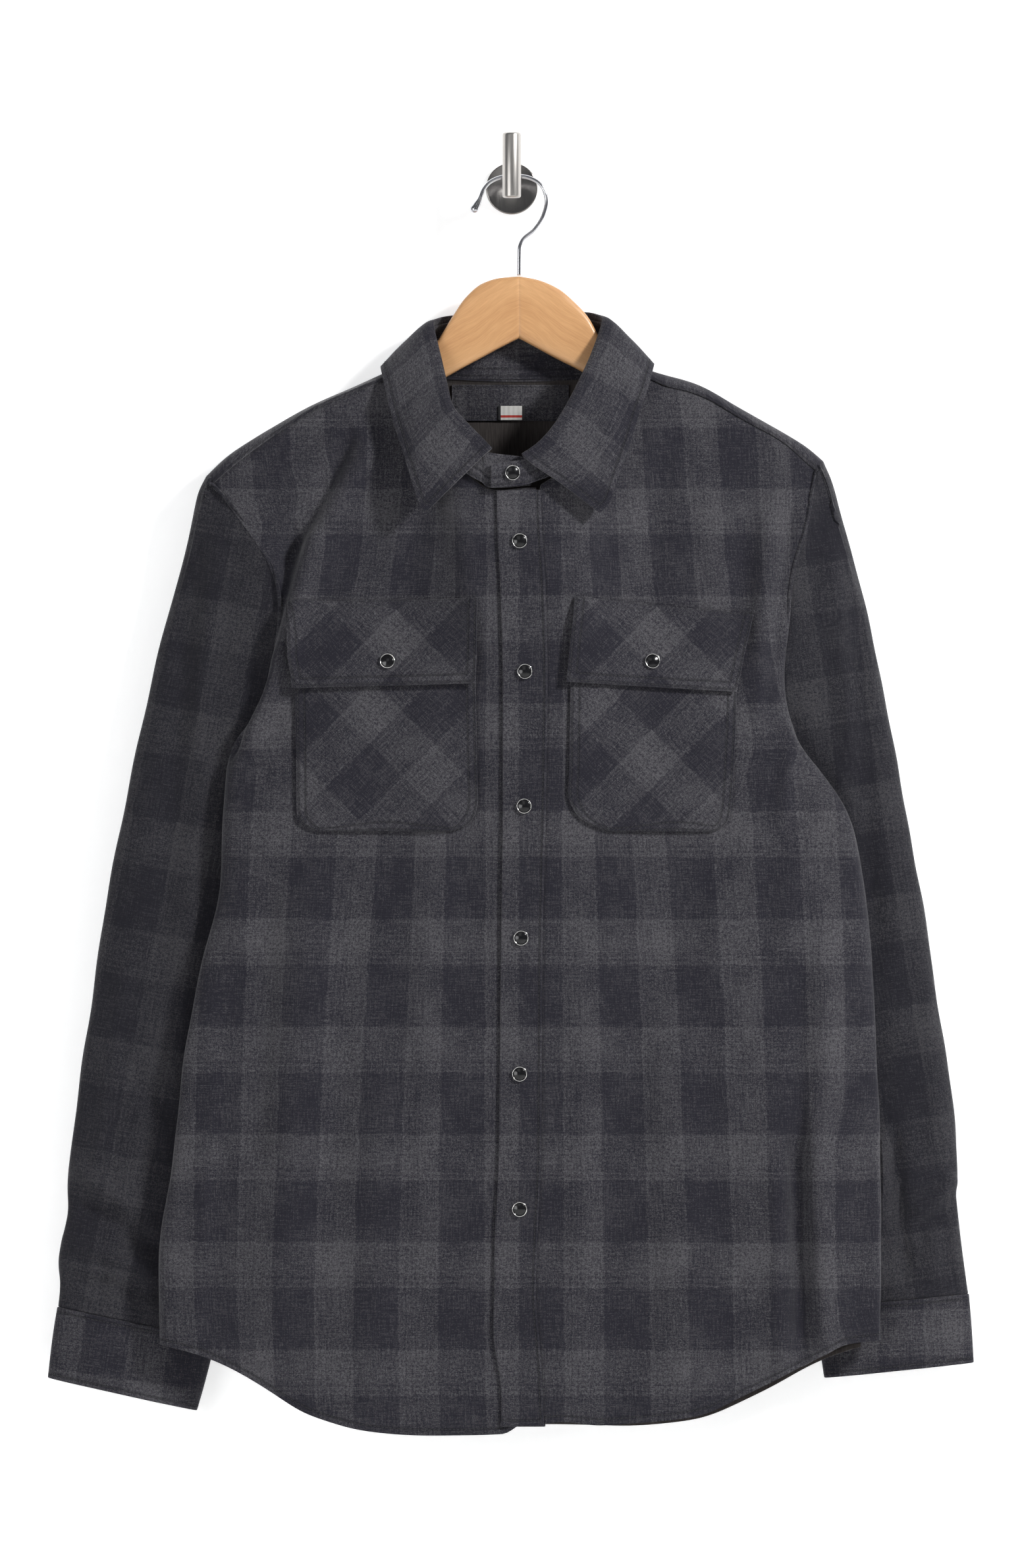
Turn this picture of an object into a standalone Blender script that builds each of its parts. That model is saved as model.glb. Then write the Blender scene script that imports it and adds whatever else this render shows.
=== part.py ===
"""Check flannel shacket on a wooden hanger and a wall hook.

Run with: blender --background --python part.py, or from Blender's text editor.
Tables are in millimetres and each finished piece is put down in metres, +Z up. The wall is the plane
y = 0, the viewer looks along +Y, and +X is the viewer's right. The origin is the middle of the wall
plate's back face. Left and right in the names are the viewer's.
Each cloth piece is a grid of points on its outer face. Solidify gives the grid its cloth thickness,
always inwards, so neighbours that meet at a seam stay a seam gap apart.
"""

import math

import bmesh
import bpy
import numpy as np
from mathutils import Vector
from mathutils.bvhtree import BVHTree

# Driving sizes, mm
CLOTH = 1.6
COLLAR_CLOTH = 1.9
CUFF_CLOTH = 2.2
FACING_CLOTH = 1.1
LABEL_CLOTH = 0.5
SEAM_GAP = 0.35
MM = 0.001

# Wall hook
PLATE_RADIUS = 19.0
PLATE_THICK = 4.0
PLATE_EDGE = 1.0
POST_RADIUS = 6.3
PEG_RADIUS = 6.75
PEG_Y = -48.0
PEG_TOP = 38.5
PEG_BOTTOM = -9.1
PEG_ROUND = 1.6
HOOK_SEGMENTS = 24

# Hanger
WOOD_Y = -26.0
WOOD_THICK = 13.0
WOOD_ROUND = 2.2
WIRE_RADIUS = 1.5
TIP_RADIUS = 3.4

# Snap fasteners
SNAP_RADIUS = 5.5
SNAP_RISE = 2.4
SNAP_LIFT = 0.35
SNAP_SEGMENTS = 12

# Grid counts of the cloth pieces
FRONT_COLUMNS = 18
FRONT_POWER = 3.0
FRONT_CROWD = 1.15
UNDERARM_CROWD = 1.6
LOW_ROWS = 14
FRONT_HIGH_ROWS = 10
FRONT_ROWS = LOW_ROWS + FRONT_HIGH_ROWS - 1
BACK_HALF_COLUMNS = 11
BACK_POWER = 2.6
BACK_HIGH_ROWS = 8
BACK_ROWS = LOW_ROWS + BACK_HIGH_ROWS - 1
COLLAR_COLUMNS = 37
STAND_ROWS = 4
PLACKET_COLUMNS = 4
LEAF_ROWS = 11

CENTRE_X = 4.0


def table(names, *rows):
    """A short table as a dictionary: each column's name gives the array of its values."""
    values = np.array(rows, dtype=float)
    return dict(zip(names.split(), values.T))


# Sides of the fronts, from hem to shoulder seam: the outermost edge, x and y, then the seam, which lies
# further in and nearer the wall where the front wraps round its side; above the underarm it is the armhole
LEFT_SIDE = table(
    "z x y seam_x seam_y",
    (-845.5, -259.0, -50.0, -246.0, -41.0),
    (-782.0, -260.0, -50.0, -246.0, -40.5),
    (-711.0, -248.0, -50.0, -234.0, -40.0),
    (-650.0, -241.0, -50.0, -226.0, -39.0),
    (-584.0, -229.0, -50.0, -213.0, -38.0),
    (-522.0, -214.0, -50.0, -199.0, -38.0),
    (-475.0, -211.0, -50.0, -193.0, -37.5),
    (-437.0, -209.0, -50.0, -189.0, -37.0),
    (-413.0, -203.0, -50.0, -185.0, -39.0),
    (-390.0, -187.0, -50.5, -179.5, -41.5),
    (-361.0, -177.0, -51.0, -173.5, -44.0),
    (-314.0, -171.0, -52.0, -169.5, -47.0),
    (-297.0, -169.0, -52.0, -169.0, -50.5),
    (-276.0, -178.0, -50.5, -178.0, -49.5),
    (-258.0, -189.0, -48.0, -189.0, -47.0),
    (-236.0, -205.0, -42.5, -205.0, -42.0),
    (-218.0, -218.5, -37.0, -218.5, -36.5),
)
RIGHT_SIDE = table(
    "z x y seam_x seam_y",
    (-842.5, 270.5, -50.0, 256.0, -41.0),
    (-739.0, 270.0, -50.0, 255.0, -40.0),
    (-668.0, 268.0, -50.0, 252.0, -39.5),
    (-607.0, 265.5, -50.0, 249.0, -39.0),
    (-564.0, 263.0, -50.0, 245.0, -38.0),
    (-522.0, 259.0, -50.0, 239.0, -38.0),
    (-484.0, 251.5, -50.0, 229.0, -37.5),
    (-456.0, 240.0, -50.0, 218.0, -37.0),
    (-437.0, 227.0, -50.0, 209.0, -37.0),
    (-423.0, 217.0, -50.0, 205.0, -38.0),
    (-395.0, 204.0, -50.5, 199.5, -41.5),
    (-361.0, 199.0, -51.0, 196.5, -44.0),
    (-314.0, 203.5, -50.0, 202.5, -46.0),
    (-267.0, 209.0, -47.5, 209.0, -46.5),
    (-243.0, 218.0, -42.5, 218.0, -42.0),
    (-209.0, 222.5, -37.0, 222.5, -36.5),
)
UNDERARM_Z = -437.0

# Back armholes, from underarm to yoke seam
LEFT_BACK_ARMHOLE = table(
    "z x y",
    (-437.0, -188.6, -36.5),
    (-428.0, -188.0, -28.0),
    (-415.0, -187.0, -22.5),
    (-390.0, -185.0, -18.5),
    (-340.0, -184.0, -15.5),
    (-300.0, -188.0, -14.0),
    (-262.0, -200.0, -13.2),
    (-230.0, -218.7, -13.5),
)
RIGHT_BACK_ARMHOLE = table(
    "z x y",
    (-437.0, 208.6, -36.5),
    (-428.0, 207.5, -28.0),
    (-415.0, 205.5, -22.5),
    (-390.0, 202.0, -18.5),
    (-340.0, 199.0, -15.5),
    (-300.0, 202.0, -14.0),
    (-262.0, 211.0, -13.2),
    (-230.0, 223.2, -13.5),
)

# Neckline and forward shoulder seam of each front, from the middle out
LEFT_TOP = table(
    "x y z",
    (18.0, -69.2, -222.5),
    (-12.0, -69.6, -224.0),
    (-38.0, -68.0, -207.0),
    (-60.0, -58.0, -182.0),
    (-77.0, -47.0, -158.0),
    (-90.0, -39.0, -143.0),
    (-101.0, -37.5, -146.0),
    (-133.0, -37.0, -158.5),
    (-164.0, -37.0, -177.0),
    (-198.0, -37.0, -200.5),
    (-218.5, -36.5, -218.0),
)
RIGHT_TOP = table(
    "x y z",
    (25.0, -71.0, -220.5),
    (40.0, -68.0, -206.0),
    (62.0, -58.0, -181.0),
    (80.0, -47.0, -156.0),
    (94.0, -39.0, -140.0),
    (105.0, -37.5, -144.5),
    (136.5, -37.0, -153.5),
    (168.0, -37.0, -171.0),
    (199.0, -37.0, -188.5),
    (222.5, -36.5, -209.0),
)

# Middle edges: the placket's free edge and its seam, and how far the front stands off the wall
PLACKET = table(
    "z edge seam depth",
    (-905.0, -8.2, 23.6, -62.0),
    (-876.0, -8.2, 22.5, -63.0),
    (-843.0, -13.0, 20.5, -64.5),
    (-807.0, -13.0, 17.8, -66.0),
    (-771.0, -12.5, 18.7, -67.0),
    (-706.0, -9.6, 21.6, -69.0),
    (-560.0, -8.0, 22.5, -72.5),
    (-442.0, -6.7, 25.0, -74.5),
    (-358.0, -6.7, 26.0, -75.0),
    (-295.0, -8.2, 24.5, -74.5),
    (-226.0, -11.0, 21.0, -72.5),
    (-219.0, -11.0, 21.0, -72.0),
)
PLACKET_LOW_Z = -905.3
PLACKET_HIGH_Z = -222.8
UNDERLAP_X = 18.0
UNDERLAP_DROP = 2.6

# Hem lines
LEFT_HEM = table(
    "x z",
    (-259.0, -845.5),
    (-231.7, -852.4),
    (-212.5, -859.6),
    (-193.8, -869.2),
    (-175.0, -880.8),
    (-151.4, -895.2),
    (-128.0, -903.5),
    (-104.3, -909.1),
    (-63.5, -912.0),
    (-20.2, -911.5),
    (18.0, -909.0),
)
RIGHT_HEM = table(
    "x z",
    (17.0, -904.8),
    (34.6, -901.0),
    (47.0, -903.0),
    (59.1, -904.3),
    (107.2, -901.4),
    (135.6, -897.6),
    (163.9, -885.6),
    (201.4, -866.8),
    (229.8, -852.4),
    (244.2, -845.9),
    (270.5, -842.5),
)
BACK_HEM = table(
    "x z",
    (-259.0, -845.0),
    (-213.0, -858.0),
    (-175.0, -877.0),
    (-130.0, -899.0),
    (-60.0, -907.0),
    (25.0, -906.5),
    (88.0, -907.5),
    (136.0, -902.0),
    (185.0, -881.0),
    (229.8, -857.0),
    (270.5, -843.5),
)
BACK_Y = table("z y", (-907.0, -8.0), (-700.0, -10.0), (-400.0, -12.0), (-230.0, -13.0))

# Shoulder ridge, and yoke seam on the back
RIDGE = table(
    "x z",
    (-224.0, -212.0),
    (-208.0, -197.0),
    (-176.0, -176.5),
    (-145.0, -159.0),
    (-114.0, -145.5),
    (-91.0, -135.0),
    (-84.0, -131.5),
    (90.0, -129.0),
    (97.0, -132.8),
    (136.5, -145.0),
    (168.0, -162.5),
    (199.0, -180.0),
    (214.0, -189.0),
    (228.5, -201.0),
)
YOKE_SEAM_Z = -229.4
YOKE_GAP = 0.8
YOKE_EDGE = 2.2
YOKE_ROWS = 10
YOKE_COLUMNS = 11
YOKE_CROSSING = np.array([0.0, 0.18, 0.36, 0.5, 0.62])
SHOULDER_REACH = 46.0
NECK_BACK_Z = -142.5
NECK_LEFT_X = -88.0
NECK_RIGHT_X = 94.0

# Largest folds: each is a soft ridge, height towards the viewer, along a line from upper to lower end
LEFT_FOLDS = table(
    "x_top z_top x_low z_low width height",
    (-104.0, -180.0, -168.0, -330.0, 13.0, 4.5),
    (-128.0, -190.0, -182.0, -285.0, 9.0, -4.0),
    (-150.0, -520.0, -168.0, -840.0, 17.0, 4.5),
    (-95.0, -640.0, -100.0, -900.0, 16.0, 3.0),
    (-200.0, -560.0, -222.0, -830.0, 12.0, -4.0),
    (-40.0, -300.0, -30.0, -560.0, 16.0, -2.5),
)
RIGHT_FOLDS = table(
    "x_top z_top x_low z_low width height",
    (196.0, -220.0, 184.0, -330.0, 9.0, 4.5),
    (168.0, -215.0, 166.0, -350.0, 10.0, -3.0),
    (205.0, -560.0, 214.0, -850.0, 12.0, -4.5),
    (228.0, -520.0, 236.0, -830.0, 12.0, 4.0),
    (120.0, -600.0, 128.0, -890.0, 17.0, 3.5),
    (70.0, -640.0, 74.0, -890.0, 14.0, -2.5),
)
BACK_FOLDS = table(
    "x_top z_top x_low z_low width height",
    (-70.0, -260.0, -100.0, -880.0, 22.0, 3.0),
    (10.0, -300.0, 16.0, -890.0, 26.0, -3.0),
    (95.0, -260.0, 120.0, -880.0, 22.0, 3.0),
)

# Sleeves: the outline of the flattened tube, from shoulder to cuff seam
LEFT_SLEEVE = table(
    "outer_x outer_z inner_x inner_z y half_depth",
    (-231.5, -234.0, -197.0, -450.0, -25.0, 15.5),
    (-241.0, -274.0, -200.0, -463.0, -24.0, 15.0),
    (-255.0, -324.0, -201.0, -476.0, -23.5, 14.5),
    (-266.0, -370.0, -201.0, -489.0, -23.0, 14.5),
    (-277.0, -420.0, -201.0, -503.0, -22.5, 14.0),
    (-286.0, -465.0, -201.0, -520.0, -22.5, 13.5),
    (-295.0, -512.0, -201.0, -546.0, -22.5, 13.5),
    (-305.0, -574.0, -201.0, -592.0, -22.0, 13.5),
    (-314.0, -636.0, -203.0, -650.0, -22.0, 13.5),
    (-321.0, -692.0, -204.0, -703.0, -22.0, 13.0),
    (-325.5, -730.0, -207.0, -745.0, -22.0, 13.5),
    (-325.0, -753.0, -209.0, -769.0, -22.0, 12.0),
    (-331.0, -782.0, -212.0, -800.0, -22.0, 12.5),
    (-331.0, -800.5, -214.0, -821.0, -22.0, 11.0),
    (-332.2, -819.2, -217.0, -842.6, -22.0, 10.5),
)
RIGHT_SLEEVE = table(
    "outer_x outer_z inner_x inner_z y half_depth",
    (241.0, -240.0, 219.5, -450.0, -25.0, 15.5),
    (252.5, -281.0, 222.5, -463.0, -24.0, 15.0),
    (263.0, -324.0, 223.5, -476.0, -23.5, 14.5),
    (272.5, -371.0, 223.5, -489.0, -23.0, 14.5),
    (281.7, -418.0, 223.0, -503.0, -22.5, 14.0),
    (291.3, -465.0, 223.0, -520.0, -22.5, 13.5),
    (298.6, -512.0, 223.0, -546.0, -22.5, 13.5),
    (309.0, -574.0, 223.0, -590.0, -22.0, 13.5),
    (318.5, -636.0, 223.5, -646.0, -22.0, 13.5),
    (325.5, -692.0, 224.0, -700.0, -22.0, 13.0),
    (327.0, -724.0, 225.0, -732.0, -22.0, 13.5),
    (325.5, -741.0, 225.0, -750.0, -22.0, 12.0),
    (329.5, -777.0, 224.0, -787.0, -22.0, 12.0),
    (334.4, -809.6, 222.5, -819.8, -22.0, 10.5),
)
LEFT_CUFF = table(
    "outer_x outer_z inner_x inner_z y half_depth",
    (-332.9, -819.75, -216.7, -843.15, -22.0, 11.3),
    (-337.0, -846.0, -223.5, -870.0, -22.0, 11.8),
    (-340.4, -871.6, -231.0, -895.6, -22.0, 11.8),
)
RIGHT_CUFF = table(
    "outer_x outer_z inner_x inner_z y half_depth",
    (335.0, -810.15, 221.5, -820.35, -22.0, 11.3),
    (337.0, -835.0, 225.0, -846.0, -22.0, 11.8),
    (338.5, -860.6, 229.0, -871.8, -22.0, 11.8),
)
SLEEVE_POWER = 2.3
CAP_ROWS = 5
CAP_FADE = 3.5
SLEEVE_CLEAR = 4.4
SLEEVE_BESIDE = 1.2

# Collar: where the leaf rolls over, its outer edge, and the stand's seam on the neckline
COLLAR = table(
    "roll_x roll_y roll_z edge_x edge_y edge_z base_x base_y base_z",
    (-14.0, -75.5, -192.5, -61.0, -78.0, -238.0, -14.0, -73.5, -221.5),
    (-22.0, -74.0, -184.0, -66.0, -78.0, -236.0, -29.0, -72.5, -213.5),
    (-33.0, -71.0, -173.0, -73.0, -75.0, -216.0, -46.0, -67.0, -199.0),
    (-43.0, -64.0, -160.0, -79.0, -68.0, -196.0, -62.0, -57.5, -178.0),
    (-47.0, -56.0, -144.0, -86.0, -58.0, -174.0, -76.0, -48.0, -157.0),
    (-51.5, -44.0, -124.0, -91.0, -52.0, -155.0, -85.5, -39.0, -138.5),
    (-57.0, -31.0, -100.0, -96.0, -28.0, -131.5, -85.0, -27.0, -129.3),
    (-50.5, -17.5, -95.0, -90.0, -7.0, -139.0, -77.0, -15.0, -134.5),
    (-33.0, -10.3, -92.5, -60.0, -5.0, -146.0, -56.0, -13.4, -139.0),
    (4.0, -9.5, -91.5, 4.0, -4.5, -148.0, 4.0, -13.2, -140.5),
    (41.0, -10.3, -90.5, 68.0, -5.0, -146.0, 63.0, -13.4, -139.0),
    (57.5, -17.5, -92.0, 100.0, -7.0, -137.0, 83.0, -15.0, -133.0),
    (66.0, -31.0, -97.5, 104.5, -28.0, -129.5, 91.5, -27.0, -126.5),
    (58.0, -44.0, -122.0, 99.0, -52.0, -150.0, 91.0, -39.5, -135.5),
    (49.0, -56.0, -142.0, 93.0, -58.0, -167.0, 80.0, -48.0, -155.0),
    (41.0, -64.0, -158.0, 86.0, -68.0, -190.0, 64.0, -57.5, -177.0),
    (30.0, -71.0, -176.0, 77.0, -75.0, -215.0, 46.0, -67.0, -199.0),
    (18.0, -75.0, -189.0, 71.0, -78.0, -233.0, 28.0, -72.5, -213.0),
    (7.0, -77.0, -196.5, 64.0, -79.0, -240.0, 8.0, -75.5, -219.5),
)
COLLAR_ROLL = 2.3
COLLAR_CREST = 0.6
STAND_END_LEFT = (14.0, -69.5, -199.0, 14.0, -70.0, -219.5)
STAND_END_RIGHT = (-14.8, -78.6, -204.5, -15.0, -77.6, -221.5)

# Hanger arms: top and underside of the wood
LEFT_ARM = table(
    "x top low",
    (5.15, -65.4, -111.0),
    (-9.6, -66.8, -118.5),
    (-21.6, -70.7, -125.0),
    (-33.7, -80.8, -131.5),
    (-43.3, -94.7, -136.8),
    (-54.3, -112.5, -143.0),
    (-72.0, -130.5, -152.5),
    (-94.0, -142.1, -164.0),
    (-114.0, -149.6, -173.5),
    (-145.0, -163.1, -187.0),
    (-176.0, -180.6, -201.0),
    (-196.0, -193.6, -209.5),
    (-204.0, -200.6, -211.0),
)
RIGHT_ARM = table(
    "x top low",
    (5.45, -65.4, -111.0),
    (18.3, -67.8, -118.0),
    (34.1, -74.5, -126.5),
    (46.2, -84.6, -132.5),
    (56.3, -95.7, -138.0),
    (64.0, -109.5, -141.5),
    (80.0, -129.5, -150.0),
    (105.0, -142.6, -161.0),
    (136.5, -149.6, -176.0),
    (168.0, -167.1, -190.5),
    (196.0, -183.1, -202.0),
    (208.0, -191.1, -204.0),
)
HOOK_WIRE = table(
    "x z",
    (5.3, -64.8),
    (5.6, -45.0),
    (7.5, -39.5),
    (17.0, -30.8),
    (23.1, -20.7),
    (25.5, -10.6),
    (24.0, -3.0),
    (18.5, 4.0),
    (10.0, 7.4),
    (1.5, 8.35),
    (-8.0, 7.0),
    (-16.0, 3.4),
    (-21.0, -2.6),
    (-23.8, -9.6),
    (-25.6, -13.0),
)

# Pockets: their left and right edges; each reaches up under its flap
LEFT_POCKET = table(
    "z left right",
    (-322.0, -158.6, -26.0),
    (-345.0, -158.4, -26.2),
    (-370.0, -158.0, -26.2),
    (-400.0, -157.6, -25.6),
    (-430.0, -157.2, -25.0),
    (-449.0, -156.9, -24.6),
    (-460.0, -156.0, -27.0),
    (-467.5, -150.0, -33.5),
    (-471.5, -139.0, -44.0),
)
RIGHT_POCKET = table(
    "z left right",
    (-322.0, 43.6, 166.0),
    (-345.0, 43.2, 165.2),
    (-370.0, 42.7, 164.2),
    (-400.0, 42.1, 163.0),
    (-430.0, 41.6, 161.6),
    (-446.0, 41.3, 160.7),
    (-458.0, 46.5, 159.3),
    (-466.0, 56.0, 156.0),
    (-471.5, 72.0, 147.0),
)
POCKET_COLUMNS = 9
POCKET_LIFT = 2.9
POCKET_PUFF = 2.5

# Flap corners as x, z, and how far the lower edge stands off
LEFT_FLAP = ((-165.0, -304.0), (-24.5, -301.5), (-160.3, -367.0), (-26.4, -363.6))
RIGHT_FLAP = ((45.7, -300.5), (176.4, -313.0), (39.9, -362.5), (164.0, -369.8))
FLAP_ROWS = 6
FLAP_LIFT = 3.0
FLAP_STAND_OFF = 7.4
LEFT_FLAP_SNAP = (-90.4, -347.6)
RIGHT_FLAP_SNAP = (102.4, -347.6)

# Snaps down the placket, and the one on the collar stand
SNAPS = table("x z", (5.8, -260.0), (9.6, -355.0), (9.1, -453.0), (6.8, -549.0), (5.8, -648.0), (5.8, -746.5))
STAND_SNAP = (0.5, -210.5)

# Strip inside the back of the neck, and the label on it
FACING_BOX = (-44.0, 42.0, -171.0, -144.5)
FACING_Y = -16.6
LABEL_BOX = (-10.0, 9.6, -170.4, -160.0)
LABEL_Y = -17.6


def smooth(at, xs, ys):
    """Cubic through a table's rows without overshoot: each slope is the harmonic mean of its neighbours."""
    order = np.argsort(xs)
    xs, ys = np.asarray(xs)[order], np.asarray(ys)[order]
    step = np.diff(xs)
    rate = np.diff(ys) / step
    slope = np.zeros_like(ys)
    slope[0], slope[-1] = rate[0], rate[-1]
    same = rate[:-1] * rate[1:] > 0
    weight_a, weight_b = 2 * step[1:] + step[:-1], step[1:] + 2 * step[:-1]
    safe_a, safe_b = np.where(same, rate[:-1], 1.0), np.where(same, rate[1:], 1.0)
    slope[1:-1] = np.where(same, (weight_a + weight_b) / (weight_a / safe_a + weight_b / safe_b), 0.0)
    at = np.clip(at, xs[0], xs[-1])
    k = np.clip(np.searchsorted(xs, at, side="right") - 1, 0, len(step) - 1)
    t = (at - xs[k]) / step[k]
    return (
        ys[k] * (1 + 2 * t) * (1 - t) ** 2
        + slope[k] * step[k] * t * (1 - t) ** 2
        + ys[k + 1] * t * t * (3 - 2 * t)
        + slope[k + 1] * step[k] * t * t * (t - 1)
    )


def along(points, count, crowd=1.0):
    """Smooth curve through points, as count points: even steps, or closer to the end if crowd is over 1."""
    points = np.asarray(points, dtype=float)
    length = np.concatenate([[0.0], np.cumsum(np.linalg.norm(np.diff(points, axis=0), axis=1))])
    share = 1 - (1 - np.linspace(0, 1, count)) ** crowd
    at = share * length[-1]
    return np.stack([smooth(at, length, points[:, k]) for k in range(points.shape[1])], axis=1)


def fold_height(x, z, folds):
    """Sum of soft ridges: each falls off across its line as a bell curve and along it towards its ends."""
    total = np.zeros_like(x)
    for k in range(len(folds["width"])):
        ax, az = folds["x_top"][k], folds["z_top"][k]
        bx, bz = folds["x_low"][k], folds["z_low"][k]
        length = math.hypot(bx - ax, bz - az)
        ux, uz = (bx - ax) / length, (bz - az) / length
        run = ((x - ax) * ux + (z - az) * uz) / length
        off = (x - ax) * uz - (z - az) * ux
        end = np.clip(np.minimum(run, 1 - run) / 0.22 + 0.35, 0, 1)
        end = end * end * (3 - 2 * end)
        total += folds["height"][k] * end * np.exp(-((off / folds["width"][k]) ** 2))
    return total


def two_part_line(points, split_z, low_count, high_count):
    """Smooth curve through points that rise in z, given last, with one point at split_z and more above it."""
    fine = along(points, 900)
    cut_at = int(np.argmin(np.abs(fine[:, -1] - split_z)))
    high = along(fine[cut_at:][::-1], high_count, UNDERARM_CROWD)[::-1]
    return np.vstack([along(fine[: cut_at + 1], low_count), high[1:]])


def side_section(middle, crest, seam, count):
    """Level section of a front, as x and y.

    A quarter superellipse goes from the middle to the outermost edge, and a quarter ellipse from there
    round to the seam. The steps get closer together towards the seam.
    """
    angle = np.linspace(0, math.pi / 2, 160)
    across = np.sin(angle) ** (2 / FRONT_POWER)
    out = np.clip(np.cos(angle), 0, 1) ** (2 / FRONT_POWER)
    flat_x = middle[0] + across * (crest[0] - middle[0])
    wrap_x = crest[0] + (1 - np.cos(angle)) * (seam[0] - crest[0])
    flat_y = crest[1] + out * (middle[1] - crest[1])
    wrap_y = crest[1] + np.sin(angle) * (seam[1] - crest[1])
    x, y = np.concatenate([flat_x, wrap_x]), np.concatenate([flat_y, wrap_y])
    share = np.concatenate([across, np.ones_like(across)])
    length = np.concatenate([[0.0], np.cumsum(np.hypot(np.diff(x), np.diff(y)))])
    at = length[-1] * (1 - (1 - np.linspace(0, 1, count)) ** FRONT_CROWD)
    return np.stack([np.interp(at, length, values) for values in (x, y, share)], axis=1)


def front_grid(side, top, hem, folds, middle_x, drop):
    """Front panel: between its middle edge, side seam with armhole, hem, and neckline with shoulder seam.

    Each row is a section that runs flat, curls to the wall at its side and wraps round to the seam. What
    the hem and the top differ from the rows is blended in over the height.
    """
    order = np.argsort(side["z"])
    side_line = np.stack([side[name][order] for name in ("seam_x", "seam_y", "x", "y", "z")], axis=1)
    side_line = two_part_line(side_line, UNDERARM_Z, LOW_ROWS, FRONT_HIGH_ROWS)
    top_z = smooth([middle_x[-1]], top["x"], top["z"])[0]
    low_z = smooth([middle_x[0]], hem["x"], hem["z"])[0]
    middle_z = np.linspace(low_z, top_z, FRONT_ROWS)
    mid_x = np.interp(np.linspace(0, 1, FRONT_ROWS), np.linspace(0, 1, len(middle_x)), middle_x)
    mid_y = smooth(middle_z, PLACKET["z"], PLACKET["depth"]) + drop
    sections = np.array(
        [
            side_section((mid_x[k], mid_y[k]), side_line[k, 2:4], side_line[k, 0:2], FRONT_COLUMNS)
            for k in range(FRONT_ROWS)
        ]
    )
    v = np.linspace(0, 1, FRONT_ROWS)[:, None]
    x, y, share = sections[..., 0], sections[..., 1], sections[..., 2]
    z = middle_z[:, None] + share * (side_line[:, 4:] - middle_z[:, None])
    low_shift = smooth(x[0], hem["x"], hem["z"]) - z[0]
    top_shift = smooth(x[-1], top["x"], top["z"]) - z[-1]
    z = z + (1 - v) * low_shift + v * top_shift
    y = y + v**3 * (smooth(x[-1], top["x"], top["y"]) - y[-1])
    flat = np.clip(share * (1 - share) * 7.0, 0, 1) * np.clip((1 - v) * 9.0, 0, 1)
    y = y - flat * fold_height(x, z, folds)
    return np.stack([x, y, z], axis=2)


def back_grid():
    """Back panel: flat behind the middle, coming forward to each side seam as a power of the width."""
    halves = []
    for side, armhole in ((LEFT_SIDE, LEFT_BACK_ARMHOLE), (RIGHT_SIDE, RIGHT_BACK_ARMHOLE)):
        order = np.argsort(side["z"])
        inwards = -math.copysign(SEAM_GAP * 1.4, side["x"][0])
        seam = np.stack([side["seam_x"][order] + inwards, side["seam_y"][order], side["z"][order]], axis=1)
        below = two_part_line(seam, UNDERARM_Z, LOW_ROWS, 2)[:LOW_ROWS]
        above = np.stack([armhole["x"], armhole["y"], armhole["z"]], axis=1)[::-1]
        above = along(above, BACK_HIGH_ROWS, UNDERARM_CROWD)[-2::-1]
        line = np.vstack([below, above])
        hem_z = smooth([CENTRE_X], BACK_HEM["x"], BACK_HEM["z"])[0]
        mid_z = np.linspace(hem_z, YOKE_SEAM_Z - SEAM_GAP, BACK_ROWS)
        across = 1 - (1 - np.linspace(0, 1, BACK_HALF_COLUMNS)) ** FRONT_CROWD
        v = np.linspace(0, 1, BACK_ROWS)[:, None]
        x = CENTRE_X + across * (line[:, :1] - CENTRE_X)
        z = mid_z[:, None] + across * (line[:, 2:] - mid_z[:, None])
        z = z + (1 - v) * (smooth(x[0], BACK_HEM["x"], BACK_HEM["z"]) - z[0]) + v * (mid_z[-1] - z[-1])
        mid_y = smooth(mid_z, BACK_Y["z"], BACK_Y["y"])[:, None]
        y = mid_y + across**BACK_POWER * (line[:, 1:2] - mid_y)
        open_field = np.clip(across * (1 - across) * 5.0, 0, 1) * np.clip((1 - v) * 6.0, 0, 1)
        y = y + open_field * fold_height(x, z, BACK_FOLDS)
        halves.append(np.stack([x, y, z], axis=2))
    return np.concatenate([halves[0][:, :0:-1], halves[1]], axis=1)


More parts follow.
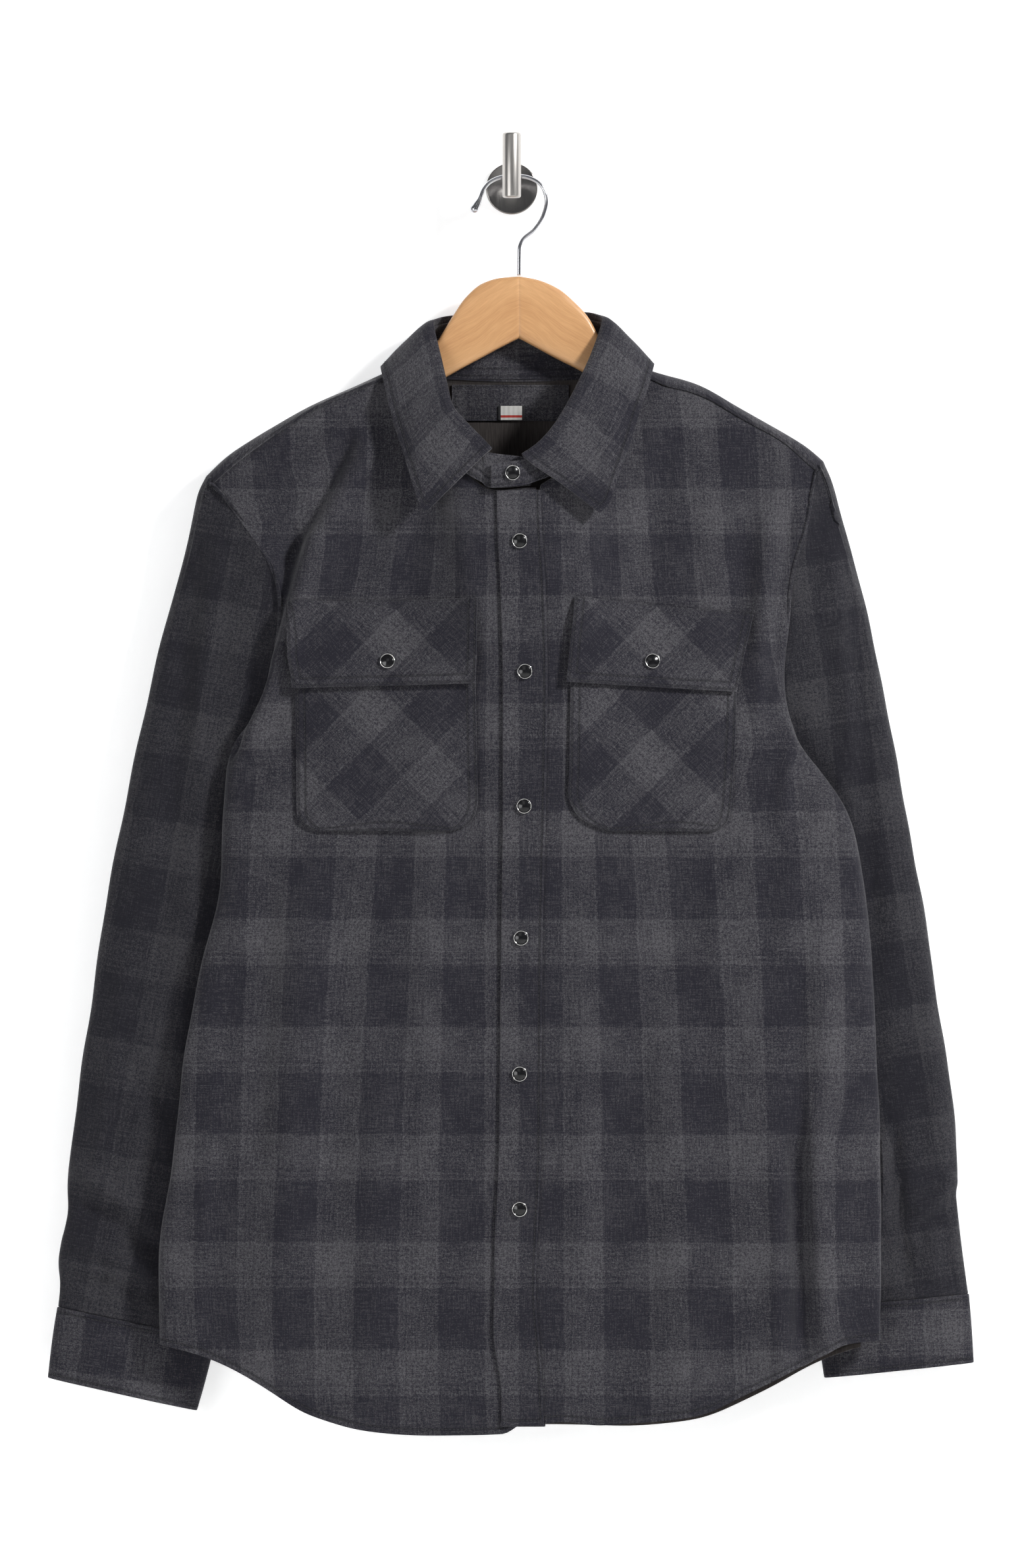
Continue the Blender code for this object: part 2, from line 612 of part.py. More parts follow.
def yoke_grid():
    """Yoke: from the forward shoulder seams and the neckline, over the ridge, to the seam on the back.

    Each column is a section of the shoulder. Where the neckline crosses the ridge the columns start
    further and further back along it, and between them they start on the back.
    """
    tip_left, tip_right = RIDGE["x"][0] + 0.5, RIDGE["x"][-1] - 0.5
    left = np.linspace(tip_left, NECK_LEFT_X - 4.5, YOKE_COLUMNS)
    right = np.linspace(NECK_RIGHT_X + 4.5, tip_right, YOKE_COLUMNS)
    between = np.linspace(NECK_LEFT_X + 10.0, NECK_RIGHT_X - 10.0, YOKE_COLUMNS)
    cross_left = NECK_LEFT_X + np.linspace(-2.0, 7.0, len(YOKE_CROSSING))
    cross_right = NECK_RIGHT_X - np.linspace(7.0, -2.0, len(YOKE_CROSSING))
    inner = np.concatenate([left, cross_left, between, cross_right, right])
    front, behind = np.zeros(YOKE_COLUMNS), np.ones(YOKE_COLUMNS)
    start = np.concatenate([front, YOKE_CROSSING, behind, YOKE_CROSSING[::-1], front])
    ridge = smooth(inner, RIDGE["x"], RIDGE["z"])
    pull = np.clip((np.abs(inner - CENTRE_X) - 205.0) / 22.0, 0, 1)
    seam_x = inner - np.sign(inner) * 5.0 * pull
    seam_left = smooth(np.minimum(seam_x, NECK_LEFT_X - 3.0), LEFT_TOP["x"], LEFT_TOP["z"])
    seam_right = smooth(np.maximum(seam_x, NECK_RIGHT_X + 3.0), RIGHT_TOP["x"], RIGHT_TOP["z"])
    seam = np.where(inner < 0, seam_left, seam_right) + YOKE_GAP
    columns = []
    for k, x in enumerate(inner):
        side = math.copysign(1.0, x)
        front_z = min(seam[k], ridge[k] - 4.6)
        section = [
            (x - side * 5.0 * pull[k], -37.4, front_z),
            (x - side * 4.6 * pull[k], -37.3, front_z + 2.2),
            (x - side * 1.6 * pull[k], -33.6, ridge[k] - 1.6),
            (x, -26.0, ridge[k]),
            (x - side * 1.2 * pull[k], -18.0, ridge[k] - 2.4),
            (x - side * 4.0 * pull[k], -14.4, ridge[k] - 8.0),
            (x - side * 6.0 * pull[k], -13.1, YOKE_SEAM_Z),
        ]
        if start[k] == 1.0:
            neck_z = NECK_BACK_Z + 5.0 * (abs(x - CENTRE_X) / 85.0) ** 2
            section = [(x, -13.4, neck_z), (x, -13.1, (neck_z + YOKE_SEAM_Z) / 2), (x, -13.1, YOKE_SEAM_Z)]
        fine = along(section, 200)
        run = np.concatenate([[0.0], np.cumsum(np.linalg.norm(np.diff(fine, axis=0), axis=1))])
        ridge_run = SHOULDER_REACH * start[k] if start[k] < 1.0 else 0.0
        first = int(np.searchsorted(run, ridge_run))
        second = int(np.searchsorted(run, run[first] + YOKE_EDGE))
        columns.append(np.vstack([fine[first], along(fine[second:], YOKE_ROWS - 1, 0.75)]))
    return np.stack(columns, axis=1)


def armhole_ring(front, back, yoke, outwards):
    """Loop of the armhole as the sleeve meets it: ridge, front down to the underarm, back up to the yoke.

    It takes the neighbours' own edge points, so that the seam keeps its gap between them.
    """
    down = front[LOW_ROWS - 1 :, -1][::-1] + np.array([outwards * 0.2, 0.9, 0.0])
    up = back[LOW_ROWS:, 0 if outwards < 0 else -1] + np.array([outwards * 0.9, 0.2, 0.0])
    end = yoke[:, 0 if outwards < 0 else -1] + np.array([outwards * 2.0, 0.0, -0.4])
    top = int(np.argmax(end[:, 2]))
    down[0, 0] = end[0, 0]
    down[:, 0] += outwards * 1.2 * np.clip((-390.0 - down[:, 2]) / 40.0, 0, 1)
    down[-1] += np.array([outwards * 1.0, 3.2, -1.0])
    up[0] += np.array([outwards * 0.8, 3.0, 1.0])
    return np.vstack([end[top], end[top - 1], end[1], down, up, end[top + 2], end[top + 1]])


def ring_angles(armhole, underarm):
    """Angle of each point of the armhole in the sleeve's rings: half a turn down to the underarm, half up."""
    step = np.linalg.norm(np.diff(np.vstack([armhole, armhole[:1]]), axis=0), axis=1)
    run = np.concatenate([[0.0], np.cumsum(step)])
    down = math.pi * run[: underarm + 1] / run[underarm]
    up = math.pi + math.pi * (run[underarm + 1 : -1] - run[underarm]) / (run[-1] - run[underarm])
    return np.concatenate([down, up])


def tube_rings(rows, angle, power):
    """Flattened rings between an outer and an inner edge: |across|^power + |depth|^power = 1, front first."""
    cos, sin = np.cos(angle), np.sin(angle)
    across = np.sign(cos) * np.abs(cos) ** (2 / power)
    out = np.sign(sin) * np.abs(sin) ** (2 / power)
    rings = []
    for k in range(len(rows["y"])):
        outer = np.array([rows["outer_x"][k], rows["outer_z"][k]])
        inner = np.array([rows["inner_x"][k], rows["inner_z"][k]])
        middle, half = (outer + inner) / 2, (outer - inner) / 2
        flat = middle + across[:, None] * half
        depth = rows["y"][k] - out * rows["half_depth"][k]
        rings.append(np.stack([flat[:, 0], depth, flat[:, 1]], axis=1))
    return np.array(rings)


def sleeve_grid(rows, armhole, side, back):
    """Sleeve: flattened rings, plus what the armhole departs from such a ring, fading downwards."""
    underarm = FRONT_HIGH_ROWS + 2
    angle = ring_angles(armhole, underarm)
    start = {
        "outer_x": armhole[:1, 0],
        "outer_z": armhole[:1, 2],
        "inner_x": armhole[underarm : underarm + 1, 0],
        "inner_z": armhole[underarm : underarm + 1, 2],
        "y": rows["y"][:1],
        "half_depth": rows["half_depth"][:1],
    }
    departure = armhole - tube_rings(start, angle, SLEEVE_POWER)[0]
    even = np.linspace(0, 2 * math.pi, len(armhole), endpoint=False)
    number = np.arange(1, len(rows["y"]) + 1)
    settle = np.clip(number / (CAP_ROWS + 2), 0, 1)[:, None] ** 0.5
    turned = angle * (1 - settle) + even * settle
    one_row = [{name: rows[name][k : k + 1] for name in rows} for k in range(len(turned))]
    rings = np.array([tube_rings(row, turn, SLEEVE_POWER)[0] for row, turn in zip(one_row, turned)])
    keep = np.clip(1 - number / (CAP_ROWS + 1), 0, 1) ** CAP_FADE
    rings = rings + keep[:, None, None] * departure
    in_front = np.arange(len(armhole)) <= underarm
    return np.concatenate([armhole[None], outside_body(rings, in_front, side, back)])


def outside_body(rings, in_front, side, back):
    """Keeps the sleeve off the body: outside its armhole, and behind where the body wraps round."""
    x, y, z = rings[..., 0], rings[..., 1], rings[..., 2]
    outwards = math.copysign(1.0, side["x"][0])
    crest_x, crest_y = smooth(z, side["z"], side["x"]), smooth(z, side["z"], side["y"])
    seam_x, seam_y = smooth(z, side["z"], side["seam_x"]), smooth(z, side["z"], side["seam_y"])
    back_x = smooth(z, back["z"], back["x"])
    armhole_x = np.where(in_front, seam_x, back_x)
    beside = outwards * np.maximum(outwards * x, outwards * armhole_x + SLEEVE_BESIDE)
    x = np.where(z > UNDERARM_Z, beside, x)
    wrap = np.clip((x - seam_x) / np.where(np.abs(crest_x - seam_x) < 1.0, outwards, crest_x - seam_x), 0, 1)
    wrapped_y = crest_y + np.sqrt(1 - wrap**2) * (seam_y - crest_y)
    share = np.clip((x - CENTRE_X) / (seam_x - CENTRE_X), 0, 1)
    mid_y = smooth(z, BACK_Y["z"], BACK_Y["y"])
    back_y = mid_y + share**BACK_POWER * (seam_y - mid_y)
    inboard = outwards * x < outwards * seam_x
    body_y = np.where(inboard, back_y, wrapped_y)
    behind = outwards * x < outwards * crest_x
    tuck = behind & (in_front | (z < UNDERARM_Z))
    return np.stack([x, np.where(tuck, np.maximum(y, body_y + SLEEVE_CLEAR), y), z], axis=-1)


def surface(name, grid, material, thick, closed=False, flip=False):
    """Puts a grid of outer-face points into a mesh and thickens it inwards."""
    rows, columns = grid.shape[:2]
    faces = []
    for r in range(rows - 1):
        for c in range(columns if closed else columns - 1):
            d = (c + 1) % columns
            quad = [r * columns + c, r * columns + d, (r + 1) * columns + d, (r + 1) * columns + c]
            faces.append(quad[::-1] if flip else quad)
    mesh = bpy.data.meshes.new(name)
    mesh.from_pydata([tuple(p * MM) for p in grid.reshape(-1, 3)], [], faces)
    piece = bpy.data.objects.new(name, mesh)
    piece.data.materials.append(material)
    garment.objects.link(piece)
    for face in mesh.polygons:
        face.use_smooth = True
    wall = piece.modifiers.new("Cloth", "SOLIDIFY")
    wall.thickness = thick * MM
    wall.offset = -1.0
    wall.use_quality_normals = True
    return piece


def tree_of(grid):
    """Search tree of a panel's outer face, in millimetres."""
    rows, columns = grid.shape[:2]
    faces = [
        (r * columns + c, r * columns + c + 1, (r + 1) * columns + c + 1, (r + 1) * columns + c)
        for r in range(rows - 1)
        for c in range(columns - 1)
    ]
    return BVHTree.FromPolygons([tuple(p) for p in grid.reshape(-1, 3)], faces)


def face_of(tree, x, z, fallback=-70.0):
    """Depth of the panel's outer face in front of the point x, z."""
    hit = tree.ray_cast(Vector((x, -400.0, z)), Vector((0.0, 1.0, 0.0)))[0]
    return hit.y if hit else fallback


def laid_on(tree, flat, lift):
    """Puts a flat grid of x, z points on a panel: each point lies on its outer face, moved out by lift."""
    lift = np.broadcast_to(lift, flat.shape[:2])
    deep = np.array([[face_of(tree, x, z) for x, z in row] for row in flat]) - lift
    return np.stack([flat[:, :, 0], deep, flat[:, :, 1]], axis=2)


def corners_grid(top_left, top_right, low_left, low_right, rows, columns):
    """Flat grid between four corners, each given as x, z."""
    u = np.linspace(0, 1, columns)[None, :, None]
    v = np.linspace(0, 1, rows)[:, None, None]
    top = np.array(top_left) * (1 - u) + np.array(top_right) * u
    low = np.array(low_left) * (1 - u) + np.array(low_right) * u
    return top * (1 - v) + low * v


def material(name, colour, rough, metallic=0.0):
    """Plain Principled material."""
    made = bpy.data.materials.new(name)
    made.use_nodes = True
    shader = made.node_tree.nodes["Principled BSDF"]
    shader.inputs["Base Color"].default_value = (*colour, 1.0)
    shader.inputs["Roughness"].default_value = rough
    shader.inputs["Metallic"].default_value = metallic
    return made


def lathe(name, profile, segments, made):
    """Turned piece: the profile, as radius and height, goes once round the local Z axis."""
    mesh = bpy.data.meshes.new(name)
    edges = [(k, k + 1) for k in range(len(profile) - 1)]
    mesh.from_pydata([(r * MM, 0.0, h * MM) for r, h in profile], edges, [])
    piece = bpy.data.objects.new(name, mesh)
    piece.data.materials.append(made)
    garment.objects.link(piece)
    turn = piece.modifiers.new("Turn", "SCREW")
    turn.angle = 2 * math.pi
    turn.steps = turn.render_steps = segments
    turn.axis = "Z"
    turn.use_merge_vertices = True
    turn.merge_threshold = 0.00001
    turn.use_normal_calculate = True
    return piece


def snap(name, tree, x, z, lift):
    """Snap cap: a domed disc in a raised ring, lying on the panel at x, z and tipped with it."""
    edge = SNAP_RADIUS
    profile = (
        (0.0, 0.0),
        (edge - 0.4, 0.0),
        (edge, 0.5),
        (edge, SNAP_RISE - 0.6),
        (edge - 0.5, SNAP_RISE),
        (edge - 1.3, SNAP_RISE - 0.1),
        (edge - 1.7, SNAP_RISE - 0.5),
        (edge * 0.35, SNAP_RISE + 0.1),
        (0.0, SNAP_RISE + 0.2),
    )
    piece = lathe(name, profile, SNAP_SEGMENTS, SNAP_METAL)
    reach = edge * 0.8
    ahead = Vector((x, face_of(tree, x, z), z))
    slope_x = (face_of(tree, x + reach, z) - face_of(tree, x - reach, z)) / (2 * reach)
    slope_z = (face_of(tree, x, z + reach) - face_of(tree, x, z - reach)) / (2 * reach)
    outwards = Vector((slope_x, -1.0, slope_z)).normalized()
    piece.rotation_euler = outwards.to_track_quat("Z", "Y").to_euler()
    piece.location = (ahead + outwards * (lift + SNAP_LIFT)) * MM
    return piece


def bar(name, sections, made):
    """Solid through closed sections, each the same number of points, with flat ends."""
    count = len(sections[0])
    points = [tuple(Vector(p) * MM) for section in sections for p in section]
    faces = [tuple(range(count))[::-1], tuple(range((len(sections) - 1) * count, len(sections) * count))]
    for k in range(len(sections) - 1):
        for c in range(count):
            d = (c + 1) % count
            faces.append((k * count + c, k * count + d, (k + 1) * count + d, (k + 1) * count + c))
    mesh = bpy.data.meshes.new(name)
    mesh.from_pydata(points, [], faces)
    solid = bmesh.new()
    solid.from_mesh(mesh)
    bmesh.ops.recalc_face_normals(solid, faces=solid.faces)
    solid.to_mesh(mesh)
    solid.free()
    piece = bpy.data.objects.new(name, mesh)
    piece.data.materials.append(made)
    garment.objects.link(piece)
    return piece


def arm_sections(rows):
    """Sections of a hanger arm: upright rectangles with cut corners, from the wood's underside to its top."""
    half, cut = WOOD_THICK / 2, WOOD_ROUND
    sections = []
    for x, top, low in zip(rows["x"], rows["top"], rows["low"]):
        trim = min(cut, (top - low) * 0.3)
        ring = (
            (-half, low + trim),
            (-half, top - trim),
            (-half + trim, top),
            (half - trim, top),
            (half, top - trim),
            (half, low + trim),
            (half - trim, low),
            (-half + trim, low),
        )
        sections.append([(x, WOOD_Y + y, z) for y, z in ring])
    return sections


def swept_wire(name, points, radius, made):
    """Round wire: a bevelled curve with filled ends through the points."""
    curve = bpy.data.curves.new(name, "CURVE")
    curve.dimensions = "3D"
    curve.bevel_depth = radius * MM
    curve.bevel_resolution = 2
    curve.use_fill_caps = True
    line = curve.splines.new("POLY")
    line.points.add(len(points) - 1)
    for point, place in zip(line.points, points):
        point.co = (*(Vector(place) * MM), 1.0)
    piece = bpy.data.objects.new(name, curve)
    piece.data.materials.append(made)
    garment.objects.link(piece)
    return piece


def collar_frames():
    """Smooth roll, edge and base lines of the collar, with each column's fall and outward directions."""
    count = COLLAR_COLUMNS
    lines = [
        np.stack([COLLAR[f"{part}_{axis}"] for axis in "xyz"], axis=1) for part in ("roll", "edge", "base")
    ]
    rows = np.arange(len(lines[0]), dtype=float)
    at = np.linspace(0, rows[-1], count)
    roll, edge, base = (np.stack([smooth(at, rows, line[:, k]) for k in range(3)], axis=1) for line in lines)
    forward = np.gradient(roll, axis=0)
    forward /= np.linalg.norm(forward, axis=1)[:, None]
    fall = edge - roll
    fall -= (fall * forward).sum(axis=1)[:, None] * forward
    fall /= np.linalg.norm(fall, axis=1)[:, None]
    out = np.cross(forward, fall)
    return roll, edge, base, fall, out


def clear_of(trees, grid, first_row, lift):
    """Moves the points of a grid's rows from first_row on out to at least lift in front of the panels."""
    for r in range(first_row, grid.shape[0]):
        for c in range(grid.shape[1]):
            x, y, z = grid[r, c]
            ahead = [face_of(tree, x, z, 0.0) for tree in trees]
            if min(ahead) < -30.0 and y < -26.0:
                grid[r, c, 1] = min(y, min(ahead) - lift)
    return grid


# Start from an empty scene
for old in list(bpy.context.scene.objects):
    bpy.data.objects.remove(old, do_unlink=True)
garment = bpy.data.collections.new("shacket_on_hanger")
bpy.context.scene.collection.children.link(garment)

FLANNEL = material("flannel", (0.085, 0.085, 0.1), 0.92)
FLANNEL_IN = material("flannel_inside", (0.06, 0.058, 0.066), 0.95)
LABEL_CLOTH_LOOK = material("woven_label", (0.7, 0.7, 0.68), 0.8)
SNAP_METAL = material("snap_metal", (0.12, 0.12, 0.13), 0.3, 1.0)
WOOD = material("beech", (0.72, 0.45, 0.22), 0.45)
CHROME = material("wire_chrome", (0.62, 0.62, 0.62), 0.15, 1.0)
NICKEL = material("brushed_nickel", (0.42, 0.41, 0.39), 0.35, 1.0)

# Fronts: the one seen on the left goes under the placket
under_edge = np.full(2, UNDERLAP_X)
left_front = front_grid(LEFT_SIDE, LEFT_TOP, LEFT_HEM, LEFT_FOLDS, under_edge, UNDERLAP_DROP)
placket_z = np.linspace(PLACKET["z"][0], PLACKET["z"][-1], FRONT_ROWS)
placket_seam = smooth(placket_z, PLACKET["z"], PLACKET["seam"])
placket_edge = smooth(placket_z, PLACKET["z"], PLACKET["edge"])
right_front = front_grid(RIGHT_SIDE, RIGHT_TOP, RIGHT_HEM, RIGHT_FOLDS, placket_seam + SEAM_GAP, 0.0)
surface("front_under", left_front, FLANNEL, CLOTH, flip=True)
surface("front_over", right_front, FLANNEL, CLOTH)
left_tree, right_tree = tree_of(left_front), tree_of(right_front)

# Placket: from the front's seam to its own free edge, on top of the other front
share = np.linspace(0, 1, PLACKET_COLUMNS)
placket_x = placket_edge[:, None] + share * (placket_seam - SEAM_GAP - placket_edge)[:, None]
end_z = np.linspace(PLACKET_LOW_Z, PLACKET_HIGH_Z, FRONT_ROWS)
placket_y = smooth(placket_z, PLACKET["z"], PLACKET["depth"])[:, None] + np.zeros(PLACKET_COLUMNS)
placket = np.stack([placket_x, placket_y, end_z[:, None] + np.zeros(PLACKET_COLUMNS)], axis=2)
surface("placket", placket, FLANNEL, CLOTH)
placket_tree = tree_of(placket)

# Back and yoke
back = back_grid()
yoke = yoke_grid()
surface("back", back, FLANNEL, CLOTH, flip=True)
surface("yoke", yoke, FLANNEL, CLOTH)

# Sleeves and cuffs
left_armhole = armhole_ring(left_front, back, yoke, -1.0)
right_armhole = armhole_ring(right_front, back, yoke, 1.0)
left_sleeve = sleeve_grid(LEFT_SLEEVE, left_armhole, LEFT_SIDE, LEFT_BACK_ARMHOLE)
right_sleeve = sleeve_grid(RIGHT_SLEEVE, right_armhole, RIGHT_SIDE, RIGHT_BACK_ARMHOLE)
surface("sleeve_left", left_sleeve, FLANNEL, CLOTH, closed=True, flip=True)
surface("sleeve_right", right_sleeve, FLANNEL, CLOTH, closed=True)
around = np.linspace(0, 2 * math.pi, len(left_armhole), endpoint=False)
surface("cuff_left", tube_rings(LEFT_CUFF, around, SLEEVE_POWER), FLANNEL, CUFF_CLOTH, closed=True, flip=True)
surface("cuff_right", tube_rings(RIGHT_CUFF, around, SLEEVE_POWER), FLANNEL, CUFF_CLOTH, closed=True)

# Collar: the leaf rolls over the stand's top, and the stand ends overlap in front
roll, edge, base, fall, out = collar_frames()
inner_side = roll + fall * (COLLAR_ROLL + 1.5) - out * COLLAR_ROLL
outer_side = roll + fall * COLLAR_ROLL + out * COLLAR_ROLL
middle = (outer_side + edge) / 2 + out * 2.0
before_top = roll + fall * COLLAR_CREST - out * COLLAR_ROLL * 0.75
after_top = roll + fall * COLLAR_CREST + out * COLLAR_ROLL * 0.75
leaf_lines = (inner_side, before_top, roll, after_top, outer_side, middle, edge)
leaf_columns = [along([line[k] for line in leaf_lines], LEAF_ROWS, 0.8) for k in range(COLLAR_COLUMNS)]
leaf = np.stack(leaf_columns, axis=1)
leaf = clear_of([left_tree, right_tree, placket_tree], leaf, 6, COLLAR_CLOTH + 1.4)
surface("collar_leaf", leaf, FLANNEL, COLLAR_CLOTH)
stand_top = inner_side + fall * (SEAM_GAP + 0.1)
stand_top = np.vstack([[STAND_END_LEFT[:3]], stand_top, [STAND_END_RIGHT[:3]]])
stand_low = np.vstack([[STAND_END_LEFT[3:]], base, [STAND_END_RIGHT[3:]]])
steps = np.linspace(0, 1, STAND_ROWS)[:, None, None]
stand = stand_top * (1 - steps) + stand_low * steps
surface("collar_stand", stand, FLANNEL, COLLAR_CLOTH)

# Strip and label inside the back of the neck
x_low, x_high, z_low, z_high = FACING_BOX
strip = corners_grid((x_low, z_high), (x_high, z_high), (x_low, z_low), (x_high, z_low), 3, 9)
surface("neck_facing", np.insert(strip, 1, FACING_Y, axis=2), FLANNEL_IN, FACING_CLOTH, flip=True)
x_low, x_high, z_low, z_high = LABEL_BOX
tag = corners_grid((x_low, z_high), (x_high, z_high), (x_low, z_low), (x_high, z_low), 2, 3)
surface("neck_label", np.insert(tag, 1, LABEL_Y, axis=2), LABEL_CLOTH_LOOK, LABEL_CLOTH, flip=True)

# Pockets, flaps and their snaps
for side, tree, rows, flap, fastener in (
    ("left", left_tree, LEFT_POCKET, LEFT_FLAP, LEFT_FLAP_SNAP),
    ("right", right_tree, RIGHT_POCKET, RIGHT_FLAP, RIGHT_FLAP_SNAP),
):
    u = np.linspace(0, 1, POCKET_COLUMNS)
    v = np.linspace(0, 1, len(rows["z"]))
    flat_x = rows["left"][:, None] * (1 - u) + rows["right"][:, None] * u
    flat = np.stack([flat_x, rows["z"][:, None] + np.zeros(POCKET_COLUMNS)], axis=2)
    puff = np.sin(math.pi * u)[None, :] * np.clip(np.sin(math.pi * (v * 0.96))[:, None], 0, 1) ** 0.5
    pocket = laid_on(tree, flat, POCKET_LIFT + POCKET_PUFF * puff)
    surface(f"pocket_{side}", pocket, FLANNEL, CLOTH, flip=True)
    flat = corners_grid(flap[0], flap[1], flap[2], flap[3], FLAP_ROWS, POCKET_COLUMNS)
    down = np.linspace(0, 1, FLAP_ROWS)[:, None]
    lift = FLAP_LIFT + (FLAP_STAND_OFF - FLAP_LIFT) * np.clip(down * 3.2, 0, 1) + 0.8 * down
    lift = lift + POCKET_PUFF * 0.75 * np.sin(math.pi * u)[None, :] * down
    cover = laid_on(tree, flat, lift)
    surface(f"flap_{side}", cover, FLANNEL, CLOTH, flip=True)
    snap(f"snap_flap_{side}", tree_of(cover), *fastener, 0.0)

# Snaps of the front
for k in range(len(SNAPS["x"])):
    snap(f"snap_front_{k + 1}", placket_tree, SNAPS["x"][k], SNAPS["z"][k], 0.0)
snap("snap_stand", tree_of(stand[:, -8:]), *STAND_SNAP, 0.0)

# Hanger
left_sections = arm_sections(LEFT_ARM)
right_sections = arm_sections(RIGHT_ARM)
bar("hanger_left_arm", left_sections, WOOD)
bar("hanger_right_arm", right_sections, WOOD)
path = np.stack([HOOK_WIRE["x"], np.full(len(HOOK_WIRE["x"]), WOOD_Y), HOOK_WIRE["z"]], axis=1)
path = along(path, 36)
heading = (path[-1] - path[-2]) / np.linalg.norm(path[-1] - path[-2])
bulb = np.linspace(-0.92, 0.95, 8)
tip = path[-1] + heading * TIP_RADIUS
bulb_points = tip + np.outer(bulb * TIP_RADIUS, heading)
bulb_radii = np.sqrt(1 - bulb**2) * TIP_RADIUS / WIRE_RADIUS
wire = swept_wire("hanger_wire", np.vstack([path[:-1], bulb_points]), WIRE_RADIUS, CHROME)
for point, radius in zip(wire.data.splines[0].points[-len(bulb) :], bulb_radii):
    point.radius = radius

# Wall hook: plate and post are turned, and the upright peg is joined to the post's end
plate = lathe(
    "wall_hook",
    (
        (0.0, 0.0),
        (PLATE_RADIUS, 0.0),
        (PLATE_RADIUS, PLATE_THICK - PLATE_EDGE),
        (PLATE_RADIUS - PLATE_EDGE, PLATE_THICK),
        (POST_RADIUS + 0.8, PLATE_THICK),
        (POST_RADIUS, PLATE_THICK + 0.8),
        (POST_RADIUS, -PEG_Y),
        (0.0, -PEG_Y),
    ),
    HOOK_SEGMENTS,
    NICKEL,
)
plate.rotation_euler = (math.pi / 2, 0.0, 0.0)
peg = lathe(
    "peg",
    (
        (0.0, PEG_BOTTOM),
        (PEG_RADIUS - PEG_ROUND, PEG_BOTTOM),
        (PEG_RADIUS - 0.4, PEG_BOTTOM + 0.5),
        (PEG_RADIUS, PEG_BOTTOM + PEG_ROUND),
        (PEG_RADIUS, PEG_TOP - PEG_ROUND),
        (PEG_RADIUS - 0.4, PEG_TOP - 0.5),
        (PEG_RADIUS - PEG_ROUND, PEG_TOP),
        (0.0, PEG_TOP),
    ),
    HOOK_SEGMENTS,
    NICKEL,
)
peg.location = (0.0, PEG_Y * MM, 0.0)
helpers = bpy.data.collections.new("cutters")
bpy.context.scene.collection.children.link(helpers)
garment.objects.unlink(peg)
helpers.objects.link(peg)
peg.hide_render = True
peg.display_type = "WIRE"
join = plate.modifiers.new("Peg", "BOOLEAN")
join.operation = "UNION"
join.solver = "EXACT"
join.object = peg
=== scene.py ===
# %% [markdown]
# # A check flannel shacket on a wooden hanger
# The imported CAD model is the frame: it says where every sewn piece, snap, hanger arm and hook is, in
# metres. This script puts the finish round it. We load it first, because each piece we make stands for
# one of its nodes and has to keep to its place.

# %% Load the imported model
import math

import bpy
import numpy as np
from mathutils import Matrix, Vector


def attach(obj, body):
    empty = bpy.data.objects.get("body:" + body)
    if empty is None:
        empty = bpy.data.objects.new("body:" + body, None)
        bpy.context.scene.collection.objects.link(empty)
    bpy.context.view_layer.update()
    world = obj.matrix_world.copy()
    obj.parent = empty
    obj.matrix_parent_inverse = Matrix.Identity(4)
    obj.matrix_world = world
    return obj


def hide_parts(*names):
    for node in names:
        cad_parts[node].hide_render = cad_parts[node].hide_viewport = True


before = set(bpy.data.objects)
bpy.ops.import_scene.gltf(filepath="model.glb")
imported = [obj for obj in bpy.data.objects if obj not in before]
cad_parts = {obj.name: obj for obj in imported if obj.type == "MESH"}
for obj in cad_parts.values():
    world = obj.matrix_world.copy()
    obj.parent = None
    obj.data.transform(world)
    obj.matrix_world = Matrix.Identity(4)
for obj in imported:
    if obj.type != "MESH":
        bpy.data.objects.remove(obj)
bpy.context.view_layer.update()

# %% [markdown]
# ## How the cloth is drawn
# A shirt hangs in a few broad curves, and each sewn piece is one sheet between its seams. So each piece
# starts as a small grid of control points, worked out from tables of its outline, and a smooth spline
# carries the grid to thousands of points. The tables are in millimetres: x to the viewer's right, y into
# the wall, z up from the middle of the wall hook. The outlines could be traced as curves by hand, but a
# table can be read, checked and changed.

# %% Small tools for tables and smooth lines
MM = 0.001
SEAM_GAP = 0.35
CLOTH, COLLAR_CLOTH, CUFF_CLOTH, FACING_CLOTH, LABEL_CLOTH = 1.6, 1.9, 2.2, 1.1, 0.5
CENTRE_X = 4.0
FOLD, TUBE = "x_top z_top x_low z_low width height", "outer_x outer_z inner_x inner_z y half_depth"


def table(names, numbers):
    """A short table, written row by row, as a dictionary: each column's name gives its array of numbers."""
    names = names.split()
    return dict(zip(names, np.array(numbers.replace(",", " ").split(), dtype=float).reshape(-1, len(names)).T))


def unit(vectors):
    """Vectors, or one vector, made one long."""
    return vectors / np.maximum(np.linalg.norm(vectors, axis=-1, keepdims=True), 1e-9)


def run_along(points):
    """Running length of a line of points, from 0 at its first."""
    return np.concatenate([[0.0], np.cumsum(np.linalg.norm(np.diff(points, axis=0), axis=1))])


